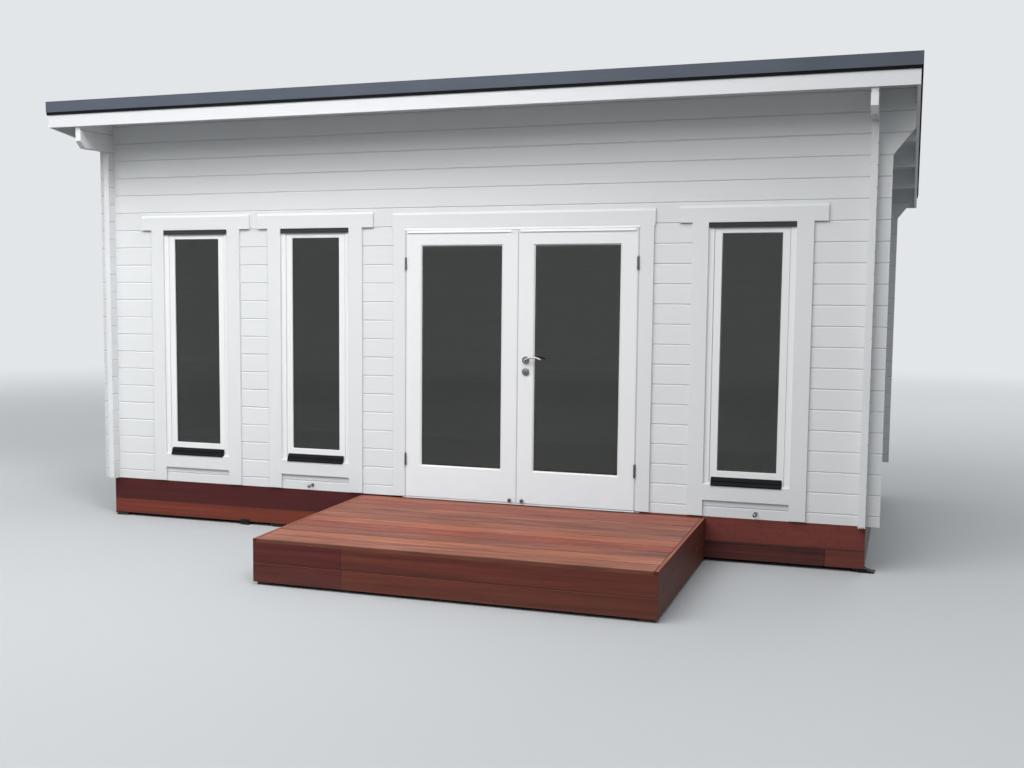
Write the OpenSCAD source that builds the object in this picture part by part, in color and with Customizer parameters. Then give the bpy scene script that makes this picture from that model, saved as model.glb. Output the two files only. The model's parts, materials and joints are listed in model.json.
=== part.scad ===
/* [Log walls] */
// Outer width, from the face of one side wall to the face of the other
wall_w = 5658; // [5400:1:6200]
// Outer depth, from the face of the front wall to the face of the rear wall
wall_d = 3258; // [2800:1:4000]
// Thickness of a wall log
log_t = 44; // [38:1:58]
// Height that one log covers
log_h = 135; // [126:1:144]
// Height of the front wall at its face
front_wall_h = 2767.5; // [2600:0.5:3000]
// Length of the log ends that run past a corner
log_end = 85; // [60:1:140]
// Depth of the V joint between two logs
vee_d = 6; // [3:0.5:8]
// Height of the V joint between two logs
vee_h = 12; // [6:1:18]
// Depth of the interlocking grooves milled in a log's underside
groove_d = 8; // [5:1:12]
// Width of one interlocking groove
groove_w = 6; // [4:0.5:8]
// Log ends that step out under the roof at the front right, below the top of the wall
right_corbel_logs = 3; // [1:1:4]
// Log ends that step out under the roof at the front left
left_corbel_logs = 1; // [1:1:4]
// Log ends that step out under the roof at each end of the rear wall
rear_corbel_logs = 1; // [1:1:4]
// Rise of the slanted cut under those log ends
corbel_cut_h = 165; // [100:1:240]

/* [Roof] */
// Fall of the roof from front to rear, in degrees
roof_pitch = 7.7; // [5:0.1:10]
// Reach of the roof in front of the front wall
front_over = 470; // [300:1:600]
// Reach of the roof behind the rear wall
rear_over = 250; // [150:1:400]
// Reach of the roof past each side wall
side_over = 230; // [160:1:320]
// Clear gap between the sloping layers of the roof and what carries them
seat_gap = 0.3; // [0.2:0.1:0.5]
// Thickness of the roof boards that form the soffit
roof_board_t = 19; // [16:1:28]
// Thickness of the insulation and battens on the boards
roof_core_t = 58; // [30:1:90]
// Thickness that the roof sheet is drawn with
roof_sheet_t = 4; // [3:0.5:6]
// Height of a rib of the roof sheet
rib_h = 18; // [10:1:30]
// Width of a rib of the roof sheet
rib_w = 32; // [20:1:60]
// Pitch of the ribs of the roof sheet
rib_pitch = 190; // [150:1:300]
// Thickness of the fascia and barge boards
fascia_t = 20; // [16:1:28]
// Depth of the fascia below the soffit
fascia_drop = 105; // [60:1:150]
// Thickness of a roof purlin
purlin_t = 44; // [38:1:70]
// Depth of a roof purlin
purlin_h = 140; // [100:1:200]
// Number of purlins between the front and rear walls
purlin_count = 3; // [2:1:4]
// Height of the folded metal flashing's face
flashing_h = 80; // [50:1:110]
// Width of the flashing on the roof
flashing_lap = 120; // [80:1:180]
// Thickness that the flashing is drawn with
flashing_t = 3; // [2:0.5:4]
// Clear space between the flashing's face and the fascia
flashing_stand = 8; // [4:1:16]
// Length of the slanted end cut of the side wall logs under the roof
outrigger_cut = 60; // [30:1:120]
// Height of the bottom of that slanted cut
outrigger_cut_h = 53; // [30:1:100]

/* [Base] */
// Height of the walls above the ground
base_h = 305; // [290:1:360]
// Thickness of the bearer boards
bearer_t = 45; // [35:1:60]
// Height of the upper bearer board
bearer_upper_h = 165; // [120:1:190]
// Height of the lower bearer board
bearer_lower_h = 115; // [90:1:120]
// Length of the short lower bearer board at the right of the front
bearer_end_piece = 243; // [150:1:600]
// Length and width of a ground packer
packer = 100; // [70:1:140]
// Packers along the front and along the rear
packer_count = 5; // [3:1:8]
// Thickness of a floor joist
joist_t = 45; // [35:1:60]
// Height of a floor joist
joist_h = 140; // [100:1:160]
// Number of floor joists
joist_count = 12; // [8:1:16]
// Thickness of the floor boards
floor_t = 22; // [18:1:28]

/* [Deck step] */
// Width of the deck
deck_w = 2500; // [2000:1:2800]
// Depth of the deck
deck_d = 1760; // [1000:1:2000]
// Distance of the deck's middle to the right of the pod's middle
deck_x = 567; // [300:1:700]
// Drop from the bottom of the walls to the deck's top
deck_drop = 12; // [12:1:60]
// Thickness of the deck boards
deck_board_t = 22; // [19:1:32]
// Number of deck boards
deck_boards_n = 10; // [8:1:14]
// Gap between deck boards
deck_gap = 3; // [2:0.5:6]
// Thickness of the deck's fascia boards
deck_fascia_t = 20; // [16:1:28]
// Height of the upper fascia board of the deck, top edge included
deck_fascia_upper_h = 153; // [120:1:180]
// Height of the deck's fascia boards above the ground
deck_fascia_clear = 20; // [10:1:60]
// Distance from the deck's left corner to the butt joint in its front fascia
deck_fascia_joint = 594; // [200:1:900]
// Clear gap in the mitres of the deck's fascia boards, along the front board
deck_mitre_gap = 0.3; // [0.2:0.1:0.5]
// Thickness of a deck joist
deck_joist_t = 45; // [35:1:60]
// Height of a deck joist
deck_joist_h = 140; // [90:1:160]
// Number of deck joists
deck_joist_count = 6; // [4:1:8]
// Width of a square deck leg
deck_leg = 90; // [70:1:120]

/* [Openings] */
// Bottom of the window openings above the wall's bottom
window_sill_z = 190; // [150:1:240]
// Width of a window opening in the logs
window_w = 575; // [500:1:620]
// Places of the three windows, from the pod's middle
window_xs = [-2065, -1058, 2076];
// Place of the double door, from the pod's middle
door_x = 506; // [400:1:600]
// Width between the jambs of the door frame
door_clear_w = 1673; // [1500:1:1800]
// Width of a jamb of the door frame
jamb_w = 30; // [25:1:50]
// Height of the head of the door frame
door_head_h = 22.5; // [15:0.5:40]
// Width of the stop behind the door leaves
door_stop_w = 15; // [10:1:20]
// Thickness of the frame flange that covers the logs inside
inner_flange_t = 16; // [10:1:24]
// Reach of that flange past the opening
inner_flange_reach = 30; // [20:1:45]

/* [Trim] */
// Thickness of the trim boards
trim_t = 20; // [15:1:28]
// Width of the window trim boards
window_trim_w = 106; // [80:1:130]
// Width of the door trim boards
door_trim_w = 94; // [70:1:120]
// Height of the head trim boards
head_trim_h = 112; // [90:1:140]
// Overhang of a window head trim past the side trims
window_ear = 87; // [40:1:110]
// Overhang of the door head trim past the side trims
door_ear = 8; // [0:1:30]
// Lap of the window trim over the window frame
window_trim_lap = 10; // [5:1:20]
// Step between the inner edges of the door trim and of the jambs
door_trim_reveal = 5; // [3:1:12]
// Step between the door's head trim and the head of its frame
door_head_reveal = 11; // [5:1:15]
// Height of the apron board's bottom
apron_z = 112; // [80:1:140]
// Height of the apron board
apron_h = 108; // [90:1:120]
// Gap between the wall's bottom and the trim boards
trim_foot = 5; // [2:1:20]

/* [Windows] */
// Width of the window frame members
window_frame_w = 46; // [36:1:60]
// Height of the window frame's head
window_frame_head = 25; // [20:1:50]
// Width of the stop behind a sash
sash_stop_w = 16; // [10:1:20]
// Clear gap round the sash
sash_gap = 4; // [2:0.5:6]
// Thickness of the sash
sash_t = 40; // [34:1:40]
// Width of the sash stiles
sash_stile = 46; // [36:1:60]
// Height of the sash top rail
sash_top = 40; // [30:1:60]
// Height of the sash bottom rail
sash_bottom = 70; // [60:1:110]
// Step of the sash behind the wall's face
sash_back = 5; // [3:1:12]
// Thickness of a sealed glass unit
glass_t = 20; // [14:1:24]
// Depth that the glass runs into its rebate
glass_bite = 12; // [8:1:16]
// Thickness of the dark bar at the head of the frame
head_drip_t = 12; // [8:1:18]
// Height of the black sill profile
sill_h = 50; // [40:1:70]
// Reach of the black sill profile in front of the sash
sill_reach = 32; // [20:1:50]
// Step of the ribs of the black sill profile
sill_rib = 4; // [3:0.5:6]
// Width of the black sill profile
sill_w = 455; // [400:1:470]

/* [Door leaves] */
// Clear gap between a leaf and the jamb, head or threshold
leaf_gap = 5; // [3:0.5:8]
// Clear gap between the two leaves
meeting_gap = 7; // [5:0.5:10]
// Height of a leaf
leaf_h = 1922; // [1850:1:2000]
// Thickness of a leaf
leaf_t = 44; // [40:1:56]
// Width of the leaf stiles
leaf_stile = 118; // [90:1:140]
// Height of the leaf top rail
leaf_top = 113; // [90:1:140]
// Height of the leaf bottom rail
leaf_bottom = 235; // [180:1:300]
// Height of the leaf's bottom above the wall's bottom
leaf_z = 8; // [6:1:14]
// Height of the threshold above the wall's bottom
threshold_top = 3; // [2:0.5:5]
// Height of the threshold's nose in front of the wall
threshold_nose = 8; // [6:1:12]
// Depth that the threshold is let into the bearer
threshold_sink = 10; // [6:1:20]
// Width of the bevel round the glass of a leaf
leaf_bevel = 10; // [5:1:16]

/* [Hardware] */
// Diameter of a hinge knuckle
hinge_d = 14; // [12:0.5:16]
// Diameter of a hinge pin
hinge_pin_d = 7; // [6:0.5:9]
// Length of a hinge
hinge_l = 88; // [60:1:110]
// Clear space round the hinge pin
hinge_play = 0.3; // [0.2:0.1:0.5]
// Thickness of a hinge plate
hinge_plate_t = 2; // [1.5:0.5:2]
// Width of a hinge plate in the gap
hinge_plate_w = 30; // [20:1:40]
// Distance of the hinge axis in front of the leaves
hinge_stand = 8; // [7.8:0.1:9]
// Middle heights of the lower and upper hinges above the wall's bottom
hinge_zs = [280, 1695];
// Height of the lever above the wall's bottom
lever_z = 1021; // [950:1:1080]
// Distance of the lever's axis from the leaf's free edge
lever_inset = 58; // [45:1:62]
// Length of the lever between its neck and the middle of its round tip
lever_l = 114; // [90:1:140]
// Rise of the lever's bow over the straight line between its ends
lever_rise = 17; // [10:1:25]
// Angle at which the lever points up at rest, in degrees
lever_tilt = 4; // [0:1:8]
// Diameter of the lever
lever_d = 14; // [13:0.5:20]
// Diameter of the rounded corner and of the round tip of the lever
lever_end_d = 15; // [14:0.5:22]
// Reach of the lever's neck from the leaf's face
lever_reach = 48; // [40:1:60]
// Diameter of the lever and lock roses
rose_d = 53; // [46:1:60]
// Thickness of a rose
rose_t = 8; // [5:1:10]
// Diameter of the lock's core
lock_core_d = 17; // [15:0.5:20]
// Distance from the lever down to the lock
lock_drop = 81; // [70:1:100]
// Diameter of the catch buttons on the leaves and the ball of a wall stop
catch_d = 27; // [20:1:34]
// Reach of a catch button from the leaf
catch_reach = 20; // [12:1:30]
// Height of the catch buttons above the wall's bottom
catch_z = 26; // [24:1:40]
// Distance of a catch button from its leaf's free edge
catch_inset = 41; // [30:1:80]
// Reach of a wall stop from the wall
stop_reach = 80; // [70:1:90]
// Height of the wall stops above the wall's bottom
stop_z = 38; // [30:1:50]
// Distances of the left and right wall stops from their hinge axes
stop_distances = [757, 804];

/* [Hidden] */
$fn = 48;
EPS = 1;
roof_slope = tan(roof_pitch);
half_w = wall_w / 2;
inner_w = wall_w - 2 * log_t;
courses = ceil(front_wall_h / log_h) + 5;
// Total depth runs from the deck's front edge to the rear flashing
rear_edge_y = wall_d + rear_over + flashing_stand + flashing_t;
front_y = (deck_d - rear_edge_y) / 2;
frame_head_z = leaf_z + leaf_h + leaf_gap;
door_opening_head = frame_head_z + door_head_h;
door_head_trim_z = frame_head_z + door_head_reveal;
// The heads of the windows line up with the door's, and the front wall is split there
window_head = door_opening_head;
split_z = door_opening_head;
door_rough_w = door_clear_w + 2 * jamb_w;
leaf_w = (door_clear_w - 2 * leaf_gap - meeting_gap) / 2;
// Layers of the roof, plumb heights above the soffit
core_top = roof_board_t + roof_core_t;
pan_top = core_top + roof_sheet_t;
barge_in = half_w + side_over - fascia_t;
flashing_out = flashing_stand + flashing_t;
pin_y = -trim_t - hinge_stand;
left_pin_x = door_x - door_clear_w / 2 + leaf_gap / 2;
right_pin_x = door_x + door_clear_w / 2 - leaf_gap / 2;
lever_x = door_x + meeting_gap / 2 + lever_inset;
lever_bore_d = lever_d + 2 * hinge_play;
packer_h = base_h - bearer_upper_h - bearer_lower_h;
deck_top = -deck_drop;
deck_x0 = deck_x - deck_w / 2;
deck_board_w = (deck_d + deck_gap) / deck_boards_n - deck_gap;
// The deck's frame lies inside the fascia boards, under the deck boards
deck_under = deck_top - deck_board_t;
deck_frame_x = deck_x0 + deck_fascia_t;
deck_frame_w = deck_w - 2 * deck_fascia_t;
deck_frame_d = deck_d - deck_fascia_t;
left_leaf_x = door_x - door_clear_w / 2 + leaf_gap;
right_leaf_x = door_x + meeting_gap / 2;
sash_w = window_w - 2 * window_frame_w - 2 * sash_gap;
sash_z0 = window_sill_z + window_frame_w + sash_gap;
sash_z1 = window_head - window_frame_head - sash_gap;
// Width of the grooves that stand for the joints of stacked boards
board_joint = 3;

// Height of the soffit at a distance y behind the face of the front wall
function soffit_z(y) = front_wall_h - y * roof_slope;
// Top of the flat of the roof sheet at that distance
function pan_z(y) = soffit_z(y) + pan_top;
// Top of a flashing's leg on the sheet at that distance
function leg_z(y) = pan_z(y) + seat_gap + flashing_t;
// Height where a wall's log ends start to step out: a joint between logs
function corbel_z(top, logs) = (floor(top / log_h + 0.5) - logs - 0.5) * log_h;

// Everything is drawn from the bottom front edge of the front wall
module at_wall() {
    translate([0, front_y, base_h]) children();
}

// A box from its lowest corner to its highest corner
module span(a, b) {
    translate(a) cube(b - a);
}

// Logs

// Section of a stack of logs: x is the wall's thickness, y is height
module log_section(z0, z1, first_joint) {
    difference() {
        translate([0, z0]) square([log_t, z1 - z0]);
        for (i = [0 : courses])
            translate([0, first_joint + i * log_h]) {
                vee();
                translate([log_t, 0]) mirror([1, 0]) vee();
            }
    }
}

// V joint in section, with its tip in the log at x = vee_d
module vee() {
    polygon([[-EPS, -vee_h / 2], [0, -vee_h / 2], [vee_d, 0], [0, vee_h / 2], [-EPS, vee_h / 2]]);
}

// Wall of logs along X from x0 to x1
module logs_x(x0, x1, z0, z1, first_joint) {
    translate([x0, 0, 0])
        rotate([90, 0, 90])
            linear_extrude(x1 - x0)
                log_section(z0, z1, first_joint);
}

// Wall of logs along Y from y0 to y1, with its outer face at x = 0
module logs_y(y0, y1, z0, z1, first_joint) {
    translate([0, y1, 0])
        rotate([90, 0, 0])
            linear_extrude(y1 - y0)
                log_section(z0, z1, first_joint);
}

// Room that the crossing wall's necks take: half a log high, every log
module necks(x0, y0, middle, z0, z1) {
    for (i = [0 : courses]) {
        low = max(z0, middle + i * log_h - log_h / 4);
        high = min(z1, middle + i * log_h + log_h / 4);
        if (high > low)
            span([x0, y0, low], [x0 + log_t, y0 + log_t, high]);
    }
}

// Space over the soffit plane, for logs that end under the roof
module above_soffit() {
    translate([-wall_w, 0, 0])
        rotate([90, 0, 90])
            linear_extrude(2 * wall_w)
                polygon([
                    [-front_over - wall_d, soffit_z(-front_over - wall_d)],
                    [2 * wall_d, soffit_z(2 * wall_d)],
                    [2 * wall_d, 2 * front_wall_h],
                    [-front_over - wall_d, 2 * front_wall_h]
                ]);
}

// Grooves milled along the underside of a log end, three side by side
module underside_grooves(length) {
    for (i = [-1 : 1])
        translate([log_t / 2 + i * 2 * groove_w - groove_w / 2, 0, -EPS])
            cube([groove_w, length, groove_d + EPS]);
}

// Front or rear wall, whole, with its notches; corbels gives the logs of the left and right corbel
module cross_wall(z0, z1, corbels = []) {
    difference() {
        union() {
            logs_x(-half_w - log_end, half_w + log_end, z0, z1, log_h / 2);
            for (i = [0 : 1 : len(corbels) - 1])
                mirror([1 - i, 0, 0])
                    corbel(corbel_z(z1, corbels[i]), z1);
        }
        for (x = [-half_w, half_w - log_t])
            necks(x, 0, log_h / 2, z0, z1);
    }
}

// Log ends at the right that run out to the barge board, cut at a slant below
module corbel(z0, z1) {
    x_in = half_w + log_end / 2;
    intersection() {
        logs_x(x_in, barge_in, z0, z1, log_h / 2);
        translate([0, log_t + EPS, 0])
            rotate([90, 0, 0])
                linear_extrude(log_t + 2 * EPS)
                    polygon([
                        [x_in, z0],
                        [half_w + log_end, z0],
                        [barge_in, z0 + corbel_cut_h],
                        [barge_in, z1],
                        [x_in, z1]
                    ]);
    }
}

module front_wall_top() {
    color("whitesmoke")
        at_wall()
            difference() {
                cross_wall(split_z, front_wall_h, [left_corbel_logs, right_corbel_logs]);
                above_soffit();
            }
}

// Lower front wall with its windows cut through
module front_wall_low(x0, x1) {
    difference() {
        intersection() {
            cross_wall(0, split_z);
            span([x0, -EPS, -EPS], [x1, log_t + EPS, split_z + EPS]);
        }
        for (x = window_xs)
            span([x - window_w / 2, -EPS, window_sill_z], [x + window_w / 2, log_t + EPS, window_head]);
        span([door_x - door_rough_w / 2, -EPS, -EPS],
            [door_x + door_rough_w / 2, log_t + EPS, door_opening_head]);
    }
}

module front_wall_left() {
    color("whitesmoke") at_wall() front_wall_low(-half_w - log_end, door_x - door_rough_w / 2);
}

module front_wall_right() {
    color("whitesmoke") at_wall() front_wall_low(door_x + door_rough_w / 2, half_w + log_end);
}

module rear_wall() {
    top = soffit_z(wall_d - log_t);
    color("whitesmoke")
        at_wall()
            difference() {
                translate([0, wall_d - log_t, 0])
                    cross_wall(0, top, [rear_corbel_logs, rear_corbel_logs]);
                above_soffit();
            }
}

// Side wall with its face at x = 0 and its thickness to the right
module side_wall() {
    first_joint = log_h;
    top_joint = (floor(front_wall_h / log_h) - 1) * log_h;
    difference() {
        union() {
            logs_y(-log_end, wall_d + log_end, 0, front_wall_h + front_over, first_joint);
            outrigger(top_joint, first_joint);
        }
        for (y = [0, wall_d - log_t])
            necks(0, y, 0, 0, front_wall_h + front_over);
        for (y = [-log_end - EPS, wall_d])
            translate([0, y, 0])
                underside_grooves(log_end + EPS);
        for (i = [1 : purlin_count])
            purlin_room(i);
        above_soffit();
    }
}

// Top logs of a side wall, run out to the front fascia
module outrigger(z0, first_joint) {
    y0 = -front_over + fascia_t;
    intersection() {
        difference() {
            logs_y(y0, 0, z0, front_wall_h + front_over, first_joint);
            translate([0, y0, z0])
                underside_grooves(front_over - fascia_t - log_end);
        }
        translate([-EPS, 0, 0])
            rotate([90, 0, 90])
                linear_extrude(log_t + 2 * EPS)
                    polygon([
                        [y0, z0 + outrigger_cut_h],
                        [y0 + outrigger_cut, z0],
                        [0, z0],
                        [0, front_wall_h + front_over],
                        [y0, front_wall_h + front_over]
                    ]);
    }
}

module left_wall() {
    color("whitesmoke") at_wall() translate([-half_w, 0, 0]) side_wall();
}

module right_wall() {
    color("whitesmoke") at_wall() translate([half_w, 0, 0]) mirror([1, 0, 0]) side_wall();
}

// Roof

function purlin_y(i) = i * wall_d / (purlin_count + 1) - purlin_t / 2;

// Section of a purlin: upright sides and a top on the slope
module purlin_section(i) {
    y = purlin_y(i);
    polygon([
        [y, soffit_z(y) - purlin_h],
        [y + purlin_t, soffit_z(y) - purlin_h],
        [y + purlin_t, soffit_z(y + purlin_t)],
        [y, soffit_z(y)]
    ]);
}

// Notch that a purlin takes in a side wall
module purlin_room(i) {
    translate([-EPS, 0, 0])
        rotate([90, 0, 90])
            linear_extrude(log_t + 2 * EPS)
                purlin_section(i);
}

module roof_purlins() {
    color("whitesmoke")
        at_wall()
            for (i = [1 : purlin_count])
                translate([-barge_in, 0, 0])
                    rotate([90, 0, 90])
                        linear_extrude(2 * barge_in)
                            purlin_section(i);
}

// Layer on the soffit plane between two heights, measured plumb
module roof_layer(x_half, y0, y1, low, high) {
    translate([-x_half, 0, 0])
        rotate([90, 0, 90])
            linear_extrude(2 * x_half)
                polygon([
                    [y0, soffit_z(y0) + low],
                    [y1, soffit_z(y1) + low],
                    [y1, soffit_z(y1) + high],
                    [y0, soffit_z(y0) + high]
                ]);
}

module roof_boards() {
    color("whitesmoke")
        at_wall()
            roof_layer(barge_in, -front_over + fascia_t, wall_d + rear_over - fascia_t,
                seat_gap, roof_board_t);
}

module roof_core() {
    color("burlywood")
        at_wall()
            roof_layer(barge_in, -front_over + fascia_t, wall_d + rear_over - fascia_t,
                roof_board_t + seat_gap, core_top);
}

// Ribbed sheet that covers the core, the fascias and the barge boards
module roof_sheet() {
    x_half = half_w + side_over;
    ribs = floor((2 * x_half - 2 * flashing_lap) / rib_pitch);
    color("dimgray")
        at_wall()
            union() {
                roof_layer(x_half, -front_over, wall_d + rear_over, core_top + seat_gap, pan_top);
                for (i = [0 : ribs])
                    translate([(i - ribs / 2) * rib_pitch, 0, 0])
                        roof_layer(rib_w / 2, -front_over + flashing_lap, wall_d + rear_over - flashing_lap,
                            core_top + seat_gap, pan_top + rib_h);
            }
}

// Board across the front or rear edge, upright, with its top on the slope
module fascia(y) {
    top = soffit_z(y + fascia_t) + core_top;
    low = soffit_z(y < 0 ? y + fascia_t : y) - fascia_drop;
    span([-half_w - side_over, y, low], [half_w + side_over, y + fascia_t, top]);
}

module front_fascia() {
    color("white") at_wall() fascia(-front_over);
}

module rear_fascia() {
    color("white") at_wall() fascia(wall_d + rear_over - fascia_t);
}

// Barge board between the fascias, along the slope
module barge() {
    translate([barge_in, 0, 0])
        rotate([90, 0, 90])
            linear_extrude(fascia_t)
                polygon([
                    for (p = [[0, 0], [1, 0], [1, 1], [0, 1]])
                        let (y = p[0] > 0 ? wall_d + rear_over - fascia_t : -front_over + fascia_t)
                            [y, soffit_z(y) + (p[1] > 0 ? core_top : -fascia_drop)]
                ]);
}

module barge_boards() {
    color("white")
        at_wall() {
            barge();
            mirror([1, 0, 0]) barge();
        }
}

// Folded flashing in section: face, top leg and a kicked-out lower hem
module flashing_section(y_edge, dir, z_top) {
    y_face = y_edge - dir * flashing_out;
    y_end = y_edge + dir * flashing_lap;
    z_end = z_top - dir * (flashing_lap + flashing_stand) * roof_slope;
    polygon([
        [y_face, z_top],
        [y_face, z_top - flashing_h],
        [y_face + dir * flashing_t, z_top - flashing_h],
        [y_face + dir * flashing_t, z_top - flashing_t],
        [y_end, z_end - flashing_t],
        [y_end, z_end]
    ]);
}

module front_flashing() {
    x_half = half_w + side_over + flashing_stand;
    y = -front_over;
    color("dimgray")
        at_wall()
            translate([-x_half, 0, 0])
                rotate([90, 0, 90])
                    linear_extrude(2 * x_half)
                        flashing_section(y, 1, leg_z(y - flashing_stand));
}

module rear_flashing() {
    x_half = half_w + side_over + flashing_stand;
    y = wall_d + rear_over;
    color("dimgray")
        at_wall()
            translate([-x_half, 0, 0])
                rotate([90, 0, 90])
                    linear_extrude(2 * x_half)
                        flashing_section(y, -1, leg_z(y + flashing_stand));
}

// Strip on the slope from y0 to y1, t wide along X, between two heights
module slope_strip(t, y0, y1, low, high) {
    translate([t / 2, 0, 0]) roof_layer(t / 2, y0, y1, low, high);
}

// Side flashing: a face beside the barge board and a leg on the sheet
module side_flashing() {
    x_face = half_w + side_over + flashing_stand;
    y0 = -front_over;
    y1 = wall_d + rear_over;
    top = pan_top + seat_gap + flashing_t;
    translate([x_face, 0, 0])
        slope_strip(flashing_t, y0 - flashing_out, y1 + flashing_out, top - flashing_h, top);
    translate([x_face - flashing_lap / 2, 0, 0])
        slope_strip(flashing_lap / 2, y0 + flashing_lap, y1 - flashing_lap, pan_top + seat_gap, top);
}

module side_flashings() {
    color("dimgray")
        at_wall() {
            side_flashing();
            mirror([1, 0, 0]) side_flashing();
        }
}

// Base

module ground_packers() {
    x_step = (wall_w - packer) / (packer_count - 1);
    color("gray")
        at_wall()
            translate([0, 0, -base_h]) {
                for (i = [0 : packer_count - 1], y = [0, wall_d - packer])
                    span([-half_w + i * x_step, y, 0], [-half_w + i * x_step + packer, y + packer, packer_h]);
                for (x = [-half_w, half_w - packer])
                    span([x, (wall_d - packer) / 2, 0], [x + packer, (wall_d + packer) / 2, packer_h]);
            }
}

// Seat of the threshold in the top of the front bearer
module threshold_room() {
    span([door_x - door_rough_w / 2, -EPS, -threshold_sink],
        [door_x + door_rough_w / 2, bearer_t + EPS, EPS]);
}

module front_bearer_upper() {
    color("brown")
        at_wall()
            difference() {
                span([-half_w, 0, -bearer_upper_h], [half_w, bearer_t, 0]);
                threshold_room();
            }
}

// Two boards end to end, with a butt joint near the right corner
module front_bearer_lower() {
    low = -bearer_upper_h - bearer_lower_h;
    x_joint = half_w - bearer_end_piece;
    color("saddlebrown")
        at_wall() {
            span([-half_w, 0, low], [x_joint - 1, bearer_t, -bearer_upper_h]);
            span([x_joint, 0, low], [half_w, bearer_t, -bearer_upper_h]);
        }
}

// Two boards on edge as one solid, with the joint between them as a groove
module bearer_pair(length) {
    total = bearer_upper_h + bearer_lower_h;
    difference() {
        translate([0, 0, -total]) cube([length, bearer_t, total]);
        for (y = [-EPS, bearer_t - board_joint])
            translate([-EPS, y, -bearer_upper_h - board_joint / 2])
                cube([length + 2 * EPS, board_joint + EPS, board_joint]);
    }
}

module rear_bearers() {
    color("gray")
        at_wall()
            translate([-half_w, wall_d - bearer_t, 0])
                bearer_pair(wall_w);
}

module side_bearer() {
    translate([bearer_t, bearer_t, 0])
        rotate([0, 0, 90])
            bearer_pair(wall_d - 2 * bearer_t);
}

module side_bearers() {
    color("gray")
        at_wall() {
            translate([-half_w, 0, 0]) side_bearer();
            translate([half_w - bearer_t, 0, 0]) side_bearer();
        }
}

module floor_joists() {
    room = wall_w - 2 * bearer_t;
    step = (room - joist_t) / (joist_count + 1);
    color("tan")
        at_wall()
            for (i = [1 : joist_count])
                translate([-room / 2 + i * step, bearer_t, -joist_h])
                    cube([joist_t, wall_d - 2 * bearer_t, joist_h]);
}

module floor_boards() {
    color("burlywood")
        at_wall()
            span([-inner_w / 2, log_t, 0], [inner_w / 2, wall_d - log_t, floor_t]);
}

// Deck step

module deck_boards() {
    color("sienna")
        at_wall()
            for (i = [0 : deck_boards_n - 1]) {
                y = -deck_d + i * (deck_board_w + deck_gap);
                span([deck_frame_x + deck_gap, y, deck_under],
                    [deck_frame_x + deck_frame_w - deck_gap, y + deck_board_w, deck_top]);
            }
}

// Rims along the front and the rear of the deck, under its boards
module deck_rims() {
    color("peru")
        at_wall()
            for (y = [-deck_frame_d, -deck_joist_t])
                span([deck_frame_x, y, deck_under - deck_joist_h],
                    [deck_frame_x + deck_frame_w, y + deck_joist_t, deck_under]);
}

// Joists from rim to rim
module deck_joists() {
    step = (deck_frame_w - deck_joist_t) / (deck_joist_count - 1);
    color("peru")
        at_wall()
            for (i = [0 : deck_joist_count - 1]) {
                x = deck_frame_x + i * step;
                span([x, -deck_frame_d + deck_joist_t, deck_under - deck_joist_h],
                    [x + deck_joist_t, -deck_joist_t, deck_under]);
            }
}

// Legs under the ends of the rims
module deck_legs() {
    color("peru")
        at_wall()
            for (x = [deck_frame_x, deck_frame_x + deck_frame_w - deck_leg],
                    y = [-deck_frame_d, -deck_leg])
                span([x, y, -base_h], [x + deck_leg, y + deck_leg, deck_under - deck_joist_h]);
}

// Stacked fascia boards up to the deck boards, with the joint between them as a groove in
// the face; mitres tells which of the two ends is mitred
module deck_fascia(length, mitres) {
    low = -base_h + deck_fascia_clear;
    joint = deck_top - deck_fascia_upper_h;
    difference() {
        translate([0, 0, low])
            linear_extrude(deck_under - low)
                polygon([
                    [0, 0],
                    [length, 0],
                    [length - mitres[1] * deck_fascia_t, deck_fascia_t],
                    [mitres[0] * deck_fascia_t, deck_fascia_t]
                ]);
        translate([-EPS, -EPS, joint - board_joint])
            cube([length + 2 * EPS, board_joint + EPS, board_joint]);
    }
}

// Fascia under the front deck board, with a butt joint as an upright groove
module deck_front_fascia() {
    color("saddlebrown")
        at_wall()
            translate([deck_x0 + deck_mitre_gap, -deck_d, 0])
                difference() {
                    deck_fascia(deck_w - 2 * deck_mitre_gap, [1, 1]);
                    translate([deck_fascia_joint, -EPS, -base_h])
                        cube([board_joint, board_joint + EPS, base_h]);
                }
}

// Fascia beside the deck boards, square at the wall and level with the boards
module deck_side_fascia(mitres) {
    deck_fascia(deck_d, mitres);
    span([0, 0, deck_under], [deck_d, deck_fascia_t, deck_top]);
}

module deck_side_fascias() {
    color("saddlebrown")
        at_wall() {
            translate([deck_x0, 0, 0])
                rotate([0, 0, -90])
                    deck_side_fascia([0, 1]);
            translate([deck_x0 + deck_w, -deck_d, 0])
                rotate([0, 0, 90])
                    deck_side_fascia([1, 0]);
        }
}

// Frame round an opening: outer size, member widths [left and right, bottom, top]
module rect_frame(w, z0, z1, member, y0, y1) {
    difference() {
        span([-w / 2, y0, z0], [w / 2, y1, z1]);
        span([-w / 2 + member[0], y0 - EPS, z0 + (member[1] > 0 ? member[1] : -EPS)],
            [w / 2 - member[0], y1 + EPS, z1 - member[2]]);
    }
}

// Windows

module each_window() {
    for (x = window_xs)
        translate([x, 0, 0]) children();
}

module window_trims() {
    color("white") at_wall() each_window() window_trim();
}

// Side boards, head board with ears and apron board, nailed to the logs
module window_trim() {
    clear = window_w - 2 * window_trim_lap;
    trim_uprights(clear, window_trim_w, window_head);
    span([-clear / 2 - window_trim_w - window_ear, -trim_t, window_head],
        [clear / 2 + window_trim_w + window_ear, 0, window_head + head_trim_h]);
    span([-clear / 2 - EPS, -trim_t, apron_z], [clear / 2 + EPS, 0, apron_z + apron_h]);
}

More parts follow.
